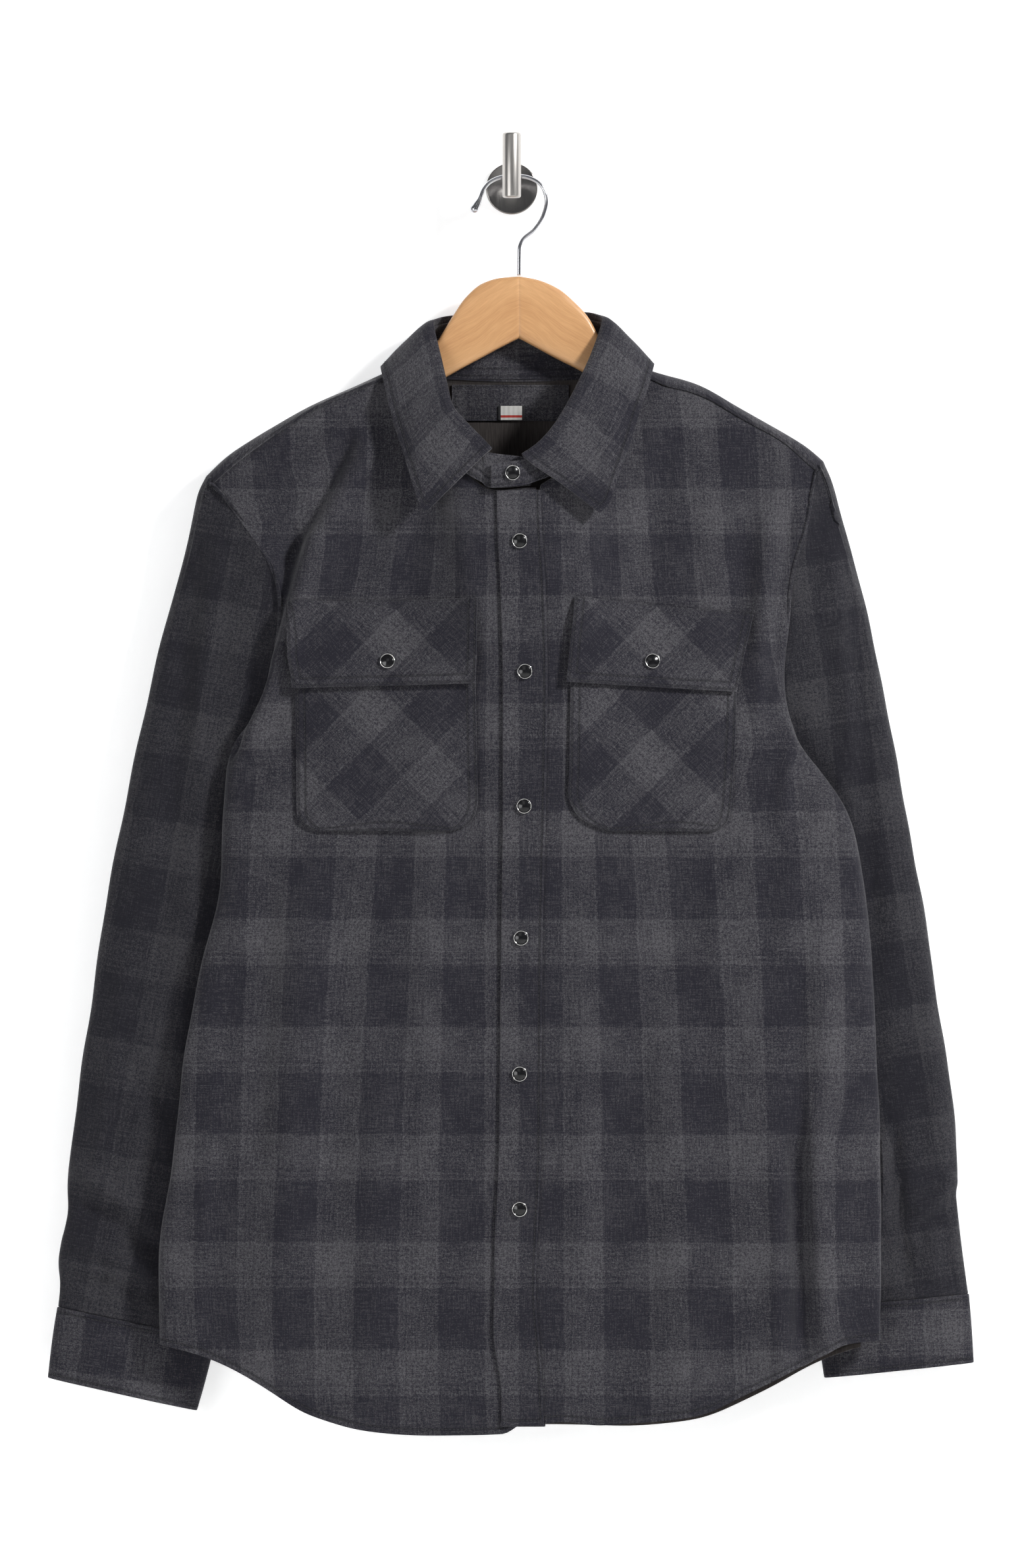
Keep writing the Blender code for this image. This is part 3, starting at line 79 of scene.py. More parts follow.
def smooth(at, xs, ys):
    """Cubic through a table's rows without overshoot: a slope is the harmonic mean of its neighbours."""
    order = np.argsort(xs)
    xs, ys = np.asarray(xs)[order], np.asarray(ys)[order]
    step = np.diff(xs)
    rate = np.diff(ys) / step
    slope = np.zeros_like(ys)
    slope[0], slope[-1] = rate[0], rate[-1]
    same = rate[:-1] * rate[1:] > 0
    weight_a, weight_b = 2 * step[1:] + step[:-1], step[1:] + 2 * step[:-1]
    safe_a, safe_b = np.where(same, rate[:-1], 1.0), np.where(same, rate[1:], 1.0)
    slope[1:-1] = np.where(same, (weight_a + weight_b) / (weight_a / safe_a + weight_b / safe_b), 0.0)
    at = np.clip(at, xs[0], xs[-1])
    k = np.clip(np.searchsorted(xs, at, side="right") - 1, 0, len(step) - 1)
    t = (at - xs[k]) / step[k]
    return (
        ys[k] * (1 + 2 * t) * (1 - t) ** 2
        + slope[k] * step[k] * t * (1 - t) ** 2
        + ys[k + 1] * t * t * (3 - 2 * t)
        + slope[k + 1] * step[k] * t * t * (t - 1)
    )


def along(points, count, crowd=1.0):
    """Smooth curve through points, as count points: even steps, or closer to the end if crowd is over 1."""
    points = np.asarray(points, dtype=float)
    length = run_along(points)
    share = 1 - (1 - np.linspace(0, 1, count)) ** crowd
    at = share * length[-1]
    return np.stack([smooth(at, length, points[:, k]) for k in range(points.shape[1])], axis=1)

# %% [markdown]
# ## The outlines, as tables
# The sides of the two fronts come first: the outermost edge that the viewer sees, and the seam behind it,
# which is the armhole above the underarm. The tops follow, from the middle of the neck out along the
# shoulder seam.

# %% Tables of the fronts and armholes
LEFT_SIDE = table("z x y seam_x seam_y", """
    -845.5 -259 -50 -246 -41
    -782 -260 -50 -246 -40.5
    -711 -248 -50 -234 -40
    -650 -241 -50 -226 -39
    -584 -229 -50 -213 -38
    -522 -214 -50 -199 -38
    -475 -211 -50 -193 -37.5
    -437 -209 -50 -189 -37
    -413 -203 -50 -185 -39
    -390 -187 -50.5 -179.5 -41.5
    -361 -177 -51 -173.5 -44
    -314 -171 -52 -169.5 -47
    -297 -169 -52 -169 -50.5
    -276 -178 -50.5 -178 -49.5
    -258 -189 -48 -189 -47
    -236 -205 -42.5 -205 -42
    -218 -218.5 -37 -218.5 -36.5
""")
RIGHT_SIDE = table("z x y seam_x seam_y", """
    -842.5 270.5 -50 256 -41
    -739 270 -50 255 -40
    -668 268 -50 252 -39.5
    -607 265.5 -50 249 -39
    -564 263 -50 245 -38
    -522 259 -50 239 -38
    -484 251.5 -50 229 -37.5
    -456 240 -50 218 -37
    -437 227 -50 209 -37
    -423 217 -50 205 -38
    -395 204 -50.5 199.5 -41.5
    -361 199 -51 196.5 -44
    -314 203.5 -50 202.5 -46
    -267 209 -47.5 209 -46.5
    -243 218 -42.5 218 -42
    -209 222.5 -37 222.5 -36.5
""")
UNDERARM_Z = -437.0
LEFT_BACK_ARMHOLE = table("z x y", """
    -437 -188.6 -36.5, -428 -188 -28, -415 -187 -22.5, -390 -185 -18.5, -340 -184 -15.5, -300 -188 -14,
    -262 -200 -13.2, -230 -218.7 -13.5
""")
RIGHT_BACK_ARMHOLE = table("z x y", """
    -437 208.6 -36.5, -428 207.5 -28, -415 205.5 -22.5, -390 202 -18.5, -340 199 -15.5, -300 202 -14,
    -262 211 -13.2, -230 223.2 -13.5
""")
LEFT_TOP = table("x y z", """
    18 -69.2 -222.5, -12 -69.6 -224, -38 -68 -207, -60 -58 -182, -77 -47 -158, -90 -39 -143,
    -101 -37.5 -146, -133 -37 -158.5, -164 -37 -177, -198 -37 -200.5, -218.5 -36.5 -218
""")
RIGHT_TOP = table("x y z", """
    25 -71 -220.5, 40 -68 -206, 62 -58 -181, 80 -47 -156, 94 -39 -140, 105 -37.5 -144.5, 136.5 -37 -153.5,
    168 -37 -171, 199 -37 -188.5, 222.5 -36.5 -209
""")

# %% [markdown]
# The placket carries the snaps. Its table gives the free edge, the seam and how far it stands off the
# wall. The hems are the curved shirt tails. The ridge is the top of the shoulders, where the hanger
# carries the weight.

# %% Tables of the placket, hems and shoulders
PLACKET = table("z edge seam depth", """
    -905 -8.2 23.6 -62
    -876 -8.2 22.5 -63
    -843 -13 20.5 -64.5
    -807 -13 17.8 -66
    -771 -12.5 18.7 -67
    -706 -9.6 21.6 -69
    -560 -8 22.5 -72.5
    -442 -6.7 25 -74.5
    -358 -6.7 26 -75
    -295 -8.2 24.5 -74.5
    -226 -11 21 -72.5
    -219 -11 21 -72
""")
PLACKET_LOW_Z = -905.3
PLACKET_HIGH_Z = -222.8
UNDERLAP_X = 18.0
UNDERLAP_DROP = 2.6
LEFT_HEM = table("x z", """
    -259 -845.5, -231.7 -852.4, -212.5 -859.6, -193.8 -869.2, -175 -880.8, -151.4 -895.2, -128 -903.5,
    -104.3 -909.1, -63.5 -912, -20.2 -911.5, 18 -909
""")
RIGHT_HEM = table("x z", """
    17 -904.8, 34.6 -901, 47 -903, 59.1 -904.3, 107.2 -901.4, 135.6 -897.6, 163.9 -885.6, 201.4 -866.8,
    229.8 -852.4, 244.2 -845.9, 270.5 -842.5
""")
BACK_HEM = table("x z", """
    -259 -845, -213 -858, -175 -877, -130 -899, -60 -907, 25 -906.5, 88 -907.5, 136 -902, 185 -881,
    229.8 -857, 270.5 -843.5
""")
BACK_Y = table("z y", "-907 -8  -700 -10  -400 -12  -230 -13")
RIDGE = table("x z", """
    -224 -212, -208 -197, -176 -176.5, -145 -159, -114 -145.5, -91 -135, -84 -131.5, 90 -129, 97 -132.8,
    136.5 -145, 168 -162.5, 199 -180, 214 -189, 228.5 -201
""")
YOKE_SEAM_Z = -229.4
YOKE_GAP = 0.8
YOKE_EDGE = 2.2
SHOULDER_REACH = 46.0
NECK_BACK_Z = -142.5
NECK_LEFT_X = -88.0
NECK_RIGHT_X = 94.0

# %% [markdown]
# The largest folds are soft ridges along straight lines. Each row is one fold: its upper and lower end,
# its half width and its height, which is negative for a trough.

# %% Tables of the large folds
LEFT_FOLDS = table(FOLD, """
    -104 -180 -168 -330 13 4.5, -128 -190 -182 -285 9 -4, -150 -520 -168 -840 17 4.5,
    -95 -640 -100 -900 16 3, -200 -560 -222 -830 12 -4, -40 -300 -30 -560 16 -2.5
""")
RIGHT_FOLDS = table(FOLD, """
    196 -220 184 -330 9 4.5, 168 -215 166 -350 10 -3, 205 -560 214 -850 12 -4.5,
    228 -520 236 -830 12 4, 120 -600 128 -890 17 3.5, 70 -640 74 -890 14 -2.5
""")
BACK_FOLDS = table(FOLD, """
    -70 -260 -100 -880 22 3, 10 -300 16 -890 26 -3, 95 -260 120 -880 22 3
""")

# %% [markdown]
# A sleeve on a hanger is a flattened tube. Its table gives the outer and inner edge of the tube from the
# shoulder down, and half its depth. The cuffs go on from there.

# %% Tables of the sleeves and cuffs
LEFT_SLEEVE = table(TUBE, """
    -231.5 -234 -197 -450 -25 15.5
    -241 -274 -200 -463 -24 15
    -255 -324 -201 -476 -23.5 14.5
    -266 -370 -201 -489 -23 14.5
    -277 -420 -201 -503 -22.5 14
    -286 -465 -201 -520 -22.5 13.5
    -295 -512 -201 -546 -22.5 13.5
    -305 -574 -201 -592 -22 13.5
    -314 -636 -203 -650 -22 13.5
    -321 -692 -204 -703 -22 13
    -325.5 -730 -207 -745 -22 13.5
    -325 -753 -209 -769 -22 12
    -331 -782 -212 -800 -22 12.5
    -331 -800.5 -214 -821 -22 11
    -332.2 -819.2 -217 -842.6 -22 10.5
""")
RIGHT_SLEEVE = table(TUBE, """
    241 -240 219.5 -450 -25 15.5
    252.5 -281 222.5 -463 -24 15
    263 -324 223.5 -476 -23.5 14.5
    272.5 -371 223.5 -489 -23 14.5
    281.7 -418 223 -503 -22.5 14
    291.3 -465 223 -520 -22.5 13.5
    298.6 -512 223 -546 -22.5 13.5
    309 -574 223 -590 -22 13.5
    318.5 -636 223.5 -646 -22 13.5
    325.5 -692 224 -700 -22 13
    327 -724 225 -732 -22 13.5
    325.5 -741 225 -750 -22 12
    329.5 -777 224 -787 -22 12
    334.4 -809.6 222.5 -819.8 -22 10.5
""")
LEFT_CUFF = table(TUBE, """
    -332.9 -819.75 -216.7 -843.15 -22 11.3
    -337 -846 -223.5 -870 -22 11.8
    -340.4 -871.6 -231 -895.6 -22 11.8
""")
RIGHT_CUFF = table(TUBE, """
    335 -810.15 221.5 -820.35 -22 11.3
    337 -835 225 -846 -22 11.8
    338.5 -860.6 229 -871.8 -22 11.8
""")
SLEEVE_POWER = 2.3
CAP_ROWS = 5
CAP_FADE = 3.5
SLEEVE_CLEAR = 4.4
SLEEVE_BESIDE = 1.2

# %% [markdown]
# The collar is given along its length by three lines: where the leaf rolls over, the leaf's outer edge,
# and the seam of the stand on the neckline. It runs from one end at the throat round the back of the
# neck to the other end.

# %% Table of the collar
COLLAR = table("roll_x roll_y roll_z edge_x edge_y edge_z base_x base_y base_z", """
    -14 -75.5 -192.5 -61 -78 -238 -14 -73.5 -221.5
    -22 -74 -184 -66 -78 -236 -29 -72.5 -213.5
    -33 -71 -173 -73 -75 -216 -46 -67 -199
    -43 -64 -160 -79 -68 -196 -62 -57.5 -178
    -47 -56 -144 -86 -58 -174 -76 -48 -157
    -51.5 -44 -124 -91 -52 -155 -85.5 -39 -138.5
    -57 -31 -100 -96 -28 -131.5 -85 -27 -129.3
    -50.5 -17.5 -95 -90 -7 -139 -77 -15 -134.5
    -33 -10.3 -92.5 -60 -5 -146 -56 -13.4 -139
    4 -9.5 -91.5 4 -4.5 -148 4 -13.2 -140.5
    41 -10.3 -90.5 68 -5 -146 63 -13.4 -139
    57.5 -17.5 -92 100 -7 -137 83 -15 -133
    66 -31 -97.5 104.5 -28 -129.5 91.5 -27 -126.5
    58 -44 -122 99 -52 -150 91 -39.5 -135.5
    49 -56 -142 93 -58 -167 80 -48 -155
    41 -64 -158 86 -68 -190 64 -57.5 -177
    30 -71 -176 77 -75 -215 46 -67 -199
    18 -75 -189 71 -78 -233 28 -72.5 -213
    7 -77 -196.5 64 -79 -240 8 -75.5 -219.5
""")
COLLAR_ROLL = 2.3
COLLAR_CREST = 0.6
STAND_END_LEFT = (14.0, -69.5, -199.0, 14.0, -70.0, -219.5)
STAND_END_RIGHT = (-14.8, -78.6, -204.5, -15.0, -77.6, -221.5)

# %% Tables of the pockets, flaps, snaps, strip and label
LEFT_POCKET = table("z left right", """
    -322 -158.6 -26, -345 -158.4 -26.2, -370 -158 -26.2, -400 -157.6 -25.6, -430 -157.2 -25,
    -449 -156.9 -24.6, -460 -156 -27, -467.5 -150 -33.5, -471.5 -139 -44
""")
RIGHT_POCKET = table("z left right", """
    -322 43.6 166, -345 43.2 165.2, -370 42.7 164.2, -400 42.1 163, -430 41.6 161.6, -446 41.3 160.7,
    -458 46.5 159.3, -466 56 156, -471.5 72 147
""")
POCKET_LIFT = 2.9
POCKET_PUFF = 2.5
LEFT_FLAP = ((-165.0, -304.0), (-24.5, -301.5), (-160.3, -367.0), (-26.4, -363.6))
RIGHT_FLAP = ((45.7, -300.5), (176.4, -313.0), (39.9, -362.5), (164.0, -369.8))
FLAP_LIFT = 3.0
FLAP_STAND_OFF = 7.4
LEFT_FLAP_SNAP = (-90.4, -347.6)
RIGHT_FLAP_SNAP = (102.4, -347.6)
SNAPS = table("x z", "5.8 -260  9.6 -355  9.1 -453  6.8 -549  5.8 -648  5.8 -746.5")
STAND_SNAP = (0.5, -210.5)
FACING_BOX = (-44.0, 42.0, -171.0, -144.5)
FACING_Y = -16.6
LABEL_BOX = (-10.0, 9.6, -170.4, -160.0)
LABEL_Y = -17.6

# %% [markdown]
# ## From tables to control grids
# A front is a stack of level sections. Each runs flat, curls towards the wall at its side and wraps round
# to the seam. A superellipse, a circle with its power raised, gives that flat run and late curl. Folds
# are added where the cloth is free and fade out at the seams.

# %% Control grids of the fronts
FOLD_END, FOLD_START = 0.22, 0.35
FRONT_COLUMNS, FRONT_POWER, FRONT_CROWD, UNDERARM_CROWD = 18, 3.0, 1.15, 1.6
LOW_ROWS, FRONT_HIGH_ROWS = 14, 10
FRONT_ROWS = LOW_ROWS + FRONT_HIGH_ROWS - 1


def fold_height(x, z, folds):
    """Sum of soft ridges: each falls off across its line as a bell curve and along it towards its ends."""
    total = np.zeros_like(x)
    for k in range(len(folds["width"])):
        ax, az = folds["x_top"][k], folds["z_top"][k]
        bx, bz = folds["x_low"][k], folds["z_low"][k]
        length = math.hypot(bx - ax, bz - az)
        ux, uz = (bx - ax) / length, (bz - az) / length
        run = ((x - ax) * ux + (z - az) * uz) / length
        off = (x - ax) * uz - (z - az) * ux
        end = np.clip(np.minimum(run, 1 - run) / FOLD_END + FOLD_START, 0, 1)
        end = end * end * (3 - 2 * end)
        total += folds["height"][k] * end * np.exp(-((off / folds["width"][k]) ** 2))
    return total


def two_part_line(points, split_z, low_count, high_count):
    """Smooth curve through rising points, z given last, with a point at split_z and more above it."""
    fine = along(points, 900)
    cut_at = int(np.argmin(np.abs(fine[:, -1] - split_z)))
    high = along(fine[cut_at:][::-1], high_count, UNDERARM_CROWD)[::-1]
    return np.vstack([along(fine[: cut_at + 1], low_count), high[1:]])


def side_section(middle, crest, seam, count):
    """Level section of a front: a quarter superellipse to the outermost edge, a quarter ellipse to the seam."""
    angle = np.linspace(0, math.pi / 2, 160)
    across = np.sin(angle) ** (2 / FRONT_POWER)
    out = np.clip(np.cos(angle), 0, 1) ** (2 / FRONT_POWER)
    flat_x = middle[0] + across * (crest[0] - middle[0])
    wrap_x = crest[0] + (1 - np.cos(angle)) * (seam[0] - crest[0])
    flat_y = crest[1] + out * (middle[1] - crest[1])
    wrap_y = crest[1] + np.sin(angle) * (seam[1] - crest[1])
    x, y = np.concatenate([flat_x, wrap_x]), np.concatenate([flat_y, wrap_y])
    share = np.concatenate([across, np.ones_like(across)])
    length = np.concatenate([[0.0], np.cumsum(np.hypot(np.diff(x), np.diff(y)))])
    at = length[-1] * (1 - (1 - np.linspace(0, 1, count)) ** FRONT_CROWD)
    return np.stack([np.interp(at, length, values) for values in (x, y, share)], axis=1)


def front_grid(side, top, hem, folds, middle_x, drop):
    """Front panel: its rows are side sections, and what hem and top differ from them is blended in."""
    order = np.argsort(side["z"])
    side_line = np.stack([side[name][order] for name in ("seam_x", "seam_y", "x", "y", "z")], axis=1)
    side_line = two_part_line(side_line, UNDERARM_Z, LOW_ROWS, FRONT_HIGH_ROWS)
    top_z = smooth([middle_x[-1]], top["x"], top["z"])[0]
    low_z = smooth([middle_x[0]], hem["x"], hem["z"])[0]
    middle_z = np.linspace(low_z, top_z, FRONT_ROWS)
    mid_x = np.interp(np.linspace(0, 1, FRONT_ROWS), np.linspace(0, 1, len(middle_x)), middle_x)
    mid_y = smooth(middle_z, PLACKET["z"], PLACKET["depth"]) + drop
    sections = np.array(
        [
            side_section((mid_x[k], mid_y[k]), side_line[k, 2:4], side_line[k, 0:2], FRONT_COLUMNS)
            for k in range(FRONT_ROWS)
        ]
    )
    v = np.linspace(0, 1, FRONT_ROWS)[:, None]
    x, y, share = sections[..., 0], sections[..., 1], sections[..., 2]
    z = middle_z[:, None] + share * (side_line[:, 4:] - middle_z[:, None])
    low_shift = smooth(x[0], hem["x"], hem["z"]) - z[0]
    top_shift = smooth(x[-1], top["x"], top["z"]) - z[-1]
    z = z + (1 - v) * low_shift + v * top_shift
    y = y + v**3 * (smooth(x[-1], top["x"], top["y"]) - y[-1])
    flat = np.clip(share * (1 - share) * 7.0, 0, 1) * np.clip((1 - v) * 9.0, 0, 1)
    y = y - flat * fold_height(x, z, folds)
    return np.stack([x, y, z], axis=2)

# %% [markdown]
# The back hangs flat behind the middle and comes forward to each side seam. The yoke goes over the
# shoulders: each of its columns is a section from the forward seam over the ridge and down to the seam on
# the back.

# %% Control grids of the back and the yoke
BACK_HALF_COLUMNS, BACK_POWER, BACK_HIGH_ROWS = 11, 2.6, 8
BACK_ROWS = LOW_ROWS + BACK_HIGH_ROWS - 1
YOKE_ROWS, YOKE_COLUMNS = 10, 11
YOKE_CROSSING = np.array([0.0, 0.18, 0.36, 0.5, 0.62])


def back_grid():
    """Back panel: flat behind the middle, coming forward to each side seam as a power of the width."""
    halves = []
    for side, armhole in ((LEFT_SIDE, LEFT_BACK_ARMHOLE), (RIGHT_SIDE, RIGHT_BACK_ARMHOLE)):
        order = np.argsort(side["z"])
        inwards = -math.copysign(SEAM_GAP * 1.4, side["x"][0])
        seam = np.stack([side["seam_x"][order] + inwards, side["seam_y"][order], side["z"][order]], axis=1)
        below = two_part_line(seam, UNDERARM_Z, LOW_ROWS, 2)[:LOW_ROWS]
        above = np.stack([armhole["x"], armhole["y"], armhole["z"]], axis=1)[::-1]
        above = along(above, BACK_HIGH_ROWS, UNDERARM_CROWD)[-2::-1]
        line = np.vstack([below, above])
        hem_z = smooth([CENTRE_X], BACK_HEM["x"], BACK_HEM["z"])[0]
        mid_z = np.linspace(hem_z, YOKE_SEAM_Z - SEAM_GAP, BACK_ROWS)
        across = 1 - (1 - np.linspace(0, 1, BACK_HALF_COLUMNS)) ** FRONT_CROWD
        v = np.linspace(0, 1, BACK_ROWS)[:, None]
        x = CENTRE_X + across * (line[:, :1] - CENTRE_X)
        z = mid_z[:, None] + across * (line[:, 2:] - mid_z[:, None])
        z = z + (1 - v) * (smooth(x[0], BACK_HEM["x"], BACK_HEM["z"]) - z[0]) + v * (mid_z[-1] - z[-1])
        mid_y = smooth(mid_z, BACK_Y["z"], BACK_Y["y"])[:, None]
        y = mid_y + across**BACK_POWER * (line[:, 1:2] - mid_y)
        open_field = np.clip(across * (1 - across) * 5.0, 0, 1) * np.clip((1 - v) * 6.0, 0, 1)
        y = y + open_field * fold_height(x, z, BACK_FOLDS)
        halves.append(np.stack([x, y, z], axis=2))
    return np.concatenate([halves[0][:, :0:-1], halves[1]], axis=1)


def yoke_grid():
    """Yoke: each column is a section from the forward seam or the neckline over the ridge to the back.

    Where the neckline crosses the ridge the columns start further and further back along it.
    """
    tip_left, tip_right = RIDGE["x"][0] + 0.5, RIDGE["x"][-1] - 0.5
    left = np.linspace(tip_left, NECK_LEFT_X - 4.5, YOKE_COLUMNS)
    right = np.linspace(NECK_RIGHT_X + 4.5, tip_right, YOKE_COLUMNS)
    between = np.linspace(NECK_LEFT_X + 10.0, NECK_RIGHT_X - 10.0, YOKE_COLUMNS)
    cross_left = NECK_LEFT_X + np.linspace(-2.0, 7.0, len(YOKE_CROSSING))
    cross_right = NECK_RIGHT_X - np.linspace(7.0, -2.0, len(YOKE_CROSSING))
    inner = np.concatenate([left, cross_left, between, cross_right, right])
    front, behind = np.zeros(YOKE_COLUMNS), np.ones(YOKE_COLUMNS)
    start = np.concatenate([front, YOKE_CROSSING, behind, YOKE_CROSSING[::-1], front])
    ridge = smooth(inner, RIDGE["x"], RIDGE["z"])
    pull = np.clip((np.abs(inner - CENTRE_X) - 205.0) / 22.0, 0, 1)
    seam_x = inner - np.sign(inner) * 5.0 * pull
    seam_left = smooth(np.minimum(seam_x, NECK_LEFT_X - 3.0), LEFT_TOP["x"], LEFT_TOP["z"])
    seam_right = smooth(np.maximum(seam_x, NECK_RIGHT_X + 3.0), RIGHT_TOP["x"], RIGHT_TOP["z"])
    seam = np.where(inner < 0, seam_left, seam_right) + YOKE_GAP
    columns = []
    for k, x in enumerate(inner):
        side = math.copysign(1.0, x)
        front_z = min(seam[k], ridge[k] - 4.6)
        section = [
            (x - side * 5.0 * pull[k], -37.4, front_z),
            (x - side * 4.6 * pull[k], -37.3, front_z + 2.2),
            (x - side * 1.6 * pull[k], -33.6, ridge[k] - 1.6),
            (x, -26.0, ridge[k]),
            (x - side * 1.2 * pull[k], -18.0, ridge[k] - 2.4),
            (x - side * 4.0 * pull[k], -14.4, ridge[k] - 8.0),
            (x - side * 6.0 * pull[k], -13.1, YOKE_SEAM_Z),
        ]
        if start[k] == 1.0:
            neck_z = NECK_BACK_Z + 5.0 * (abs(x - CENTRE_X) / 85.0) ** 2
            section = [(x, -13.4, neck_z), (x, -13.1, (neck_z + YOKE_SEAM_Z) / 2), (x, -13.1, YOKE_SEAM_Z)]
        fine = along(section, 200)
        run = run_along(fine)
        ridge_run = SHOULDER_REACH * start[k] if start[k] < 1.0 else 0.0
        first = int(np.searchsorted(run, ridge_run))
        second = int(np.searchsorted(run, run[first] + YOKE_EDGE))
        columns.append(np.vstack([fine[first], along(fine[second:], YOKE_ROWS - 1, 0.75)]))
    return np.stack(columns, axis=1)

# %% [markdown]
# The sleeve's first ring is the armhole itself, so that it meets the front, the yoke and the back point
# by point. Below it the rings settle into a flattened tube that stays clear of the body.

# %% Control grids of the sleeves
def armhole_ring(front, back, yoke, outwards):
    """Loop of the armhole, from its neighbours' edges: ridge, down the front, up the back to the yoke."""
    down = front[LOW_ROWS - 1 :, -1][::-1] + np.array([outwards * 0.2, 0.9, 0.0])
    up = back[LOW_ROWS:, 0 if outwards < 0 else -1] + np.array([outwards * 0.9, 0.2, 0.0])
    end = yoke[:, 0 if outwards < 0 else -1] + np.array([outwards * 2.0, 0.0, -0.4])
    top = int(np.argmax(end[:, 2]))
    down[0, 0] = end[0, 0]
    down[:, 0] += outwards * 1.2 * np.clip((-390.0 - down[:, 2]) / 40.0, 0, 1)
    down[-1] += np.array([outwards * 1.0, 3.2, -1.0])
    up[0] += np.array([outwards * 0.8, 3.0, 1.0])
    return np.vstack([end[top], end[top - 1], end[1], down, up, end[top + 2], end[top + 1]])


def ring_angles(armhole, underarm):
    """Angle of each point of the armhole in the sleeve's rings: half a turn down to the underarm, half up."""
    run = run_along(np.vstack([armhole, armhole[:1]]))
    down = math.pi * run[: underarm + 1] / run[underarm]
    up = math.pi + math.pi * (run[underarm + 1 : -1] - run[underarm]) / (run[-1] - run[underarm])
    return np.concatenate([down, up])


def flattened(angle, power):
    """Superellipse |across|^power + |up|^power = 1: cosine and sine with their sign, raised to 2 / power."""
    return [np.sign(part) * np.abs(part) ** (2 / power) for part in (np.cos(angle), np.sin(angle))]


def tube_rings(rows, angle, power):
    """Flattened rings between an outer and an inner edge, front first."""
    across, out = flattened(angle, power)
    outer = np.stack([rows["outer_x"], rows["outer_z"]], axis=1)[:, None]
    inner = np.stack([rows["inner_x"], rows["inner_z"]], axis=1)[:, None]
    flat = (outer + inner) / 2 + across[..., None] * ((outer - inner) / 2)
    depth = rows["y"][:, None] - out * rows["half_depth"][:, None]
    return np.stack([flat[..., 0], depth, flat[..., 1]], axis=2)


def sleeve_grid(rows, armhole, side, back):
    """Sleeve: flattened rings, plus what the armhole departs from such a ring, fading downwards."""
    underarm = FRONT_HIGH_ROWS + 2
    angle = ring_angles(armhole, underarm)
    shoulder, pit = armhole[[0]], armhole[[underarm]]
    start = {"outer_x": shoulder[:, 0], "outer_z": shoulder[:, 2], "inner_x": pit[:, 0], "inner_z": pit[:, 2],
             "y": rows["y"][:1], "half_depth": rows["half_depth"][:1]}
    departure = armhole - tube_rings(start, angle, SLEEVE_POWER)[0]
    even = np.linspace(0, 2 * math.pi, len(armhole), endpoint=False)
    number = np.arange(1, len(rows["y"]) + 1)
    settle = np.clip(number / (CAP_ROWS + 2), 0, 1)[:, None] ** 0.5
    rings = tube_rings(rows, angle * (1 - settle) + even * settle, SLEEVE_POWER)
    keep = np.clip(1 - number / (CAP_ROWS + 1), 0, 1) ** CAP_FADE
    rings = rings + keep[:, None, None] * departure
    in_front = np.arange(len(armhole)) <= underarm
    return np.concatenate([armhole[None], outside_body(rings, in_front, side, back)])


def outside_body(rings, in_front, side, back):
    """Keeps the sleeve off the body: outside its armhole, and behind where the body wraps round."""
    x, y, z = rings[..., 0], rings[..., 1], rings[..., 2]
    outwards = math.copysign(1.0, side["x"][0])
    crest_x, crest_y = smooth(z, side["z"], side["x"]), smooth(z, side["z"], side["y"])
    seam_x, seam_y = smooth(z, side["z"], side["seam_x"]), smooth(z, side["z"], side["seam_y"])
    back_x = smooth(z, back["z"], back["x"])
    armhole_x = np.where(in_front, seam_x, back_x)
    beside = outwards * np.maximum(outwards * x, outwards * armhole_x + SLEEVE_BESIDE)
    x = np.where(z > UNDERARM_Z, beside, x)
    wrap = np.clip((x - seam_x) / np.where(np.abs(crest_x - seam_x) < 1.0, outwards, crest_x - seam_x), 0, 1)
    wrapped_y = crest_y + np.sqrt(1 - wrap**2) * (seam_y - crest_y)
    share = np.clip((x - CENTRE_X) / (seam_x - CENTRE_X), 0, 1)
    mid_y = smooth(z, BACK_Y["z"], BACK_Y["y"])
    back_y = mid_y + share**BACK_POWER * (seam_y - mid_y)
    inboard = outwards * x < outwards * seam_x
    body_y = np.where(inboard, back_y, wrapped_y)
    behind = outwards * x < outwards * crest_x
    tuck = behind & (in_front | (z < UNDERARM_Z))
    return np.stack([x, np.where(tuck, np.maximum(y, body_y + SLEEVE_CLEAR), y), z], axis=-1)

# %% [markdown]
# The collar leaf is a strip that rolls over: up the inside, over the crest and down the outside to its
# edge. Its columns stand square to the roll line.

# %% Control grid of the collar
COLLAR_COLUMNS, LEAF_ROWS, STAND_ROWS, PLACKET_COLUMNS = 37, 11, 4, 4


def collar_frames():
    """Smooth roll, edge and base lines of the collar, with each column's fall and outward directions."""
    count = COLLAR_COLUMNS
    lines = [
        np.stack([COLLAR[f"{part}_{axis}"] for axis in "xyz"], axis=1) for part in ("roll", "edge", "base")
    ]
    rows = np.arange(len(lines[0]), dtype=float)
    at = np.linspace(0, rows[-1], count)
    roll, edge, base = (np.stack([smooth(at, rows, line[:, k]) for k in range(3)], axis=1) for line in lines)
    forward = unit(np.gradient(roll, axis=0))
    fall = edge - roll
    fall = unit(fall - (fall * forward).sum(axis=1)[:, None] * forward)
    return roll, edge, base, fall, np.cross(forward, fall)

# %% [markdown]
# A pocket is sewn onto a front, so its depth comes from the panel under it. The function below writes
# every point in the corner weights of every triangle, and where no weight is negative the triangle covers
# the point.

# %% Depth of a panel under flat points
PANEL_FALLBACK = -70.0


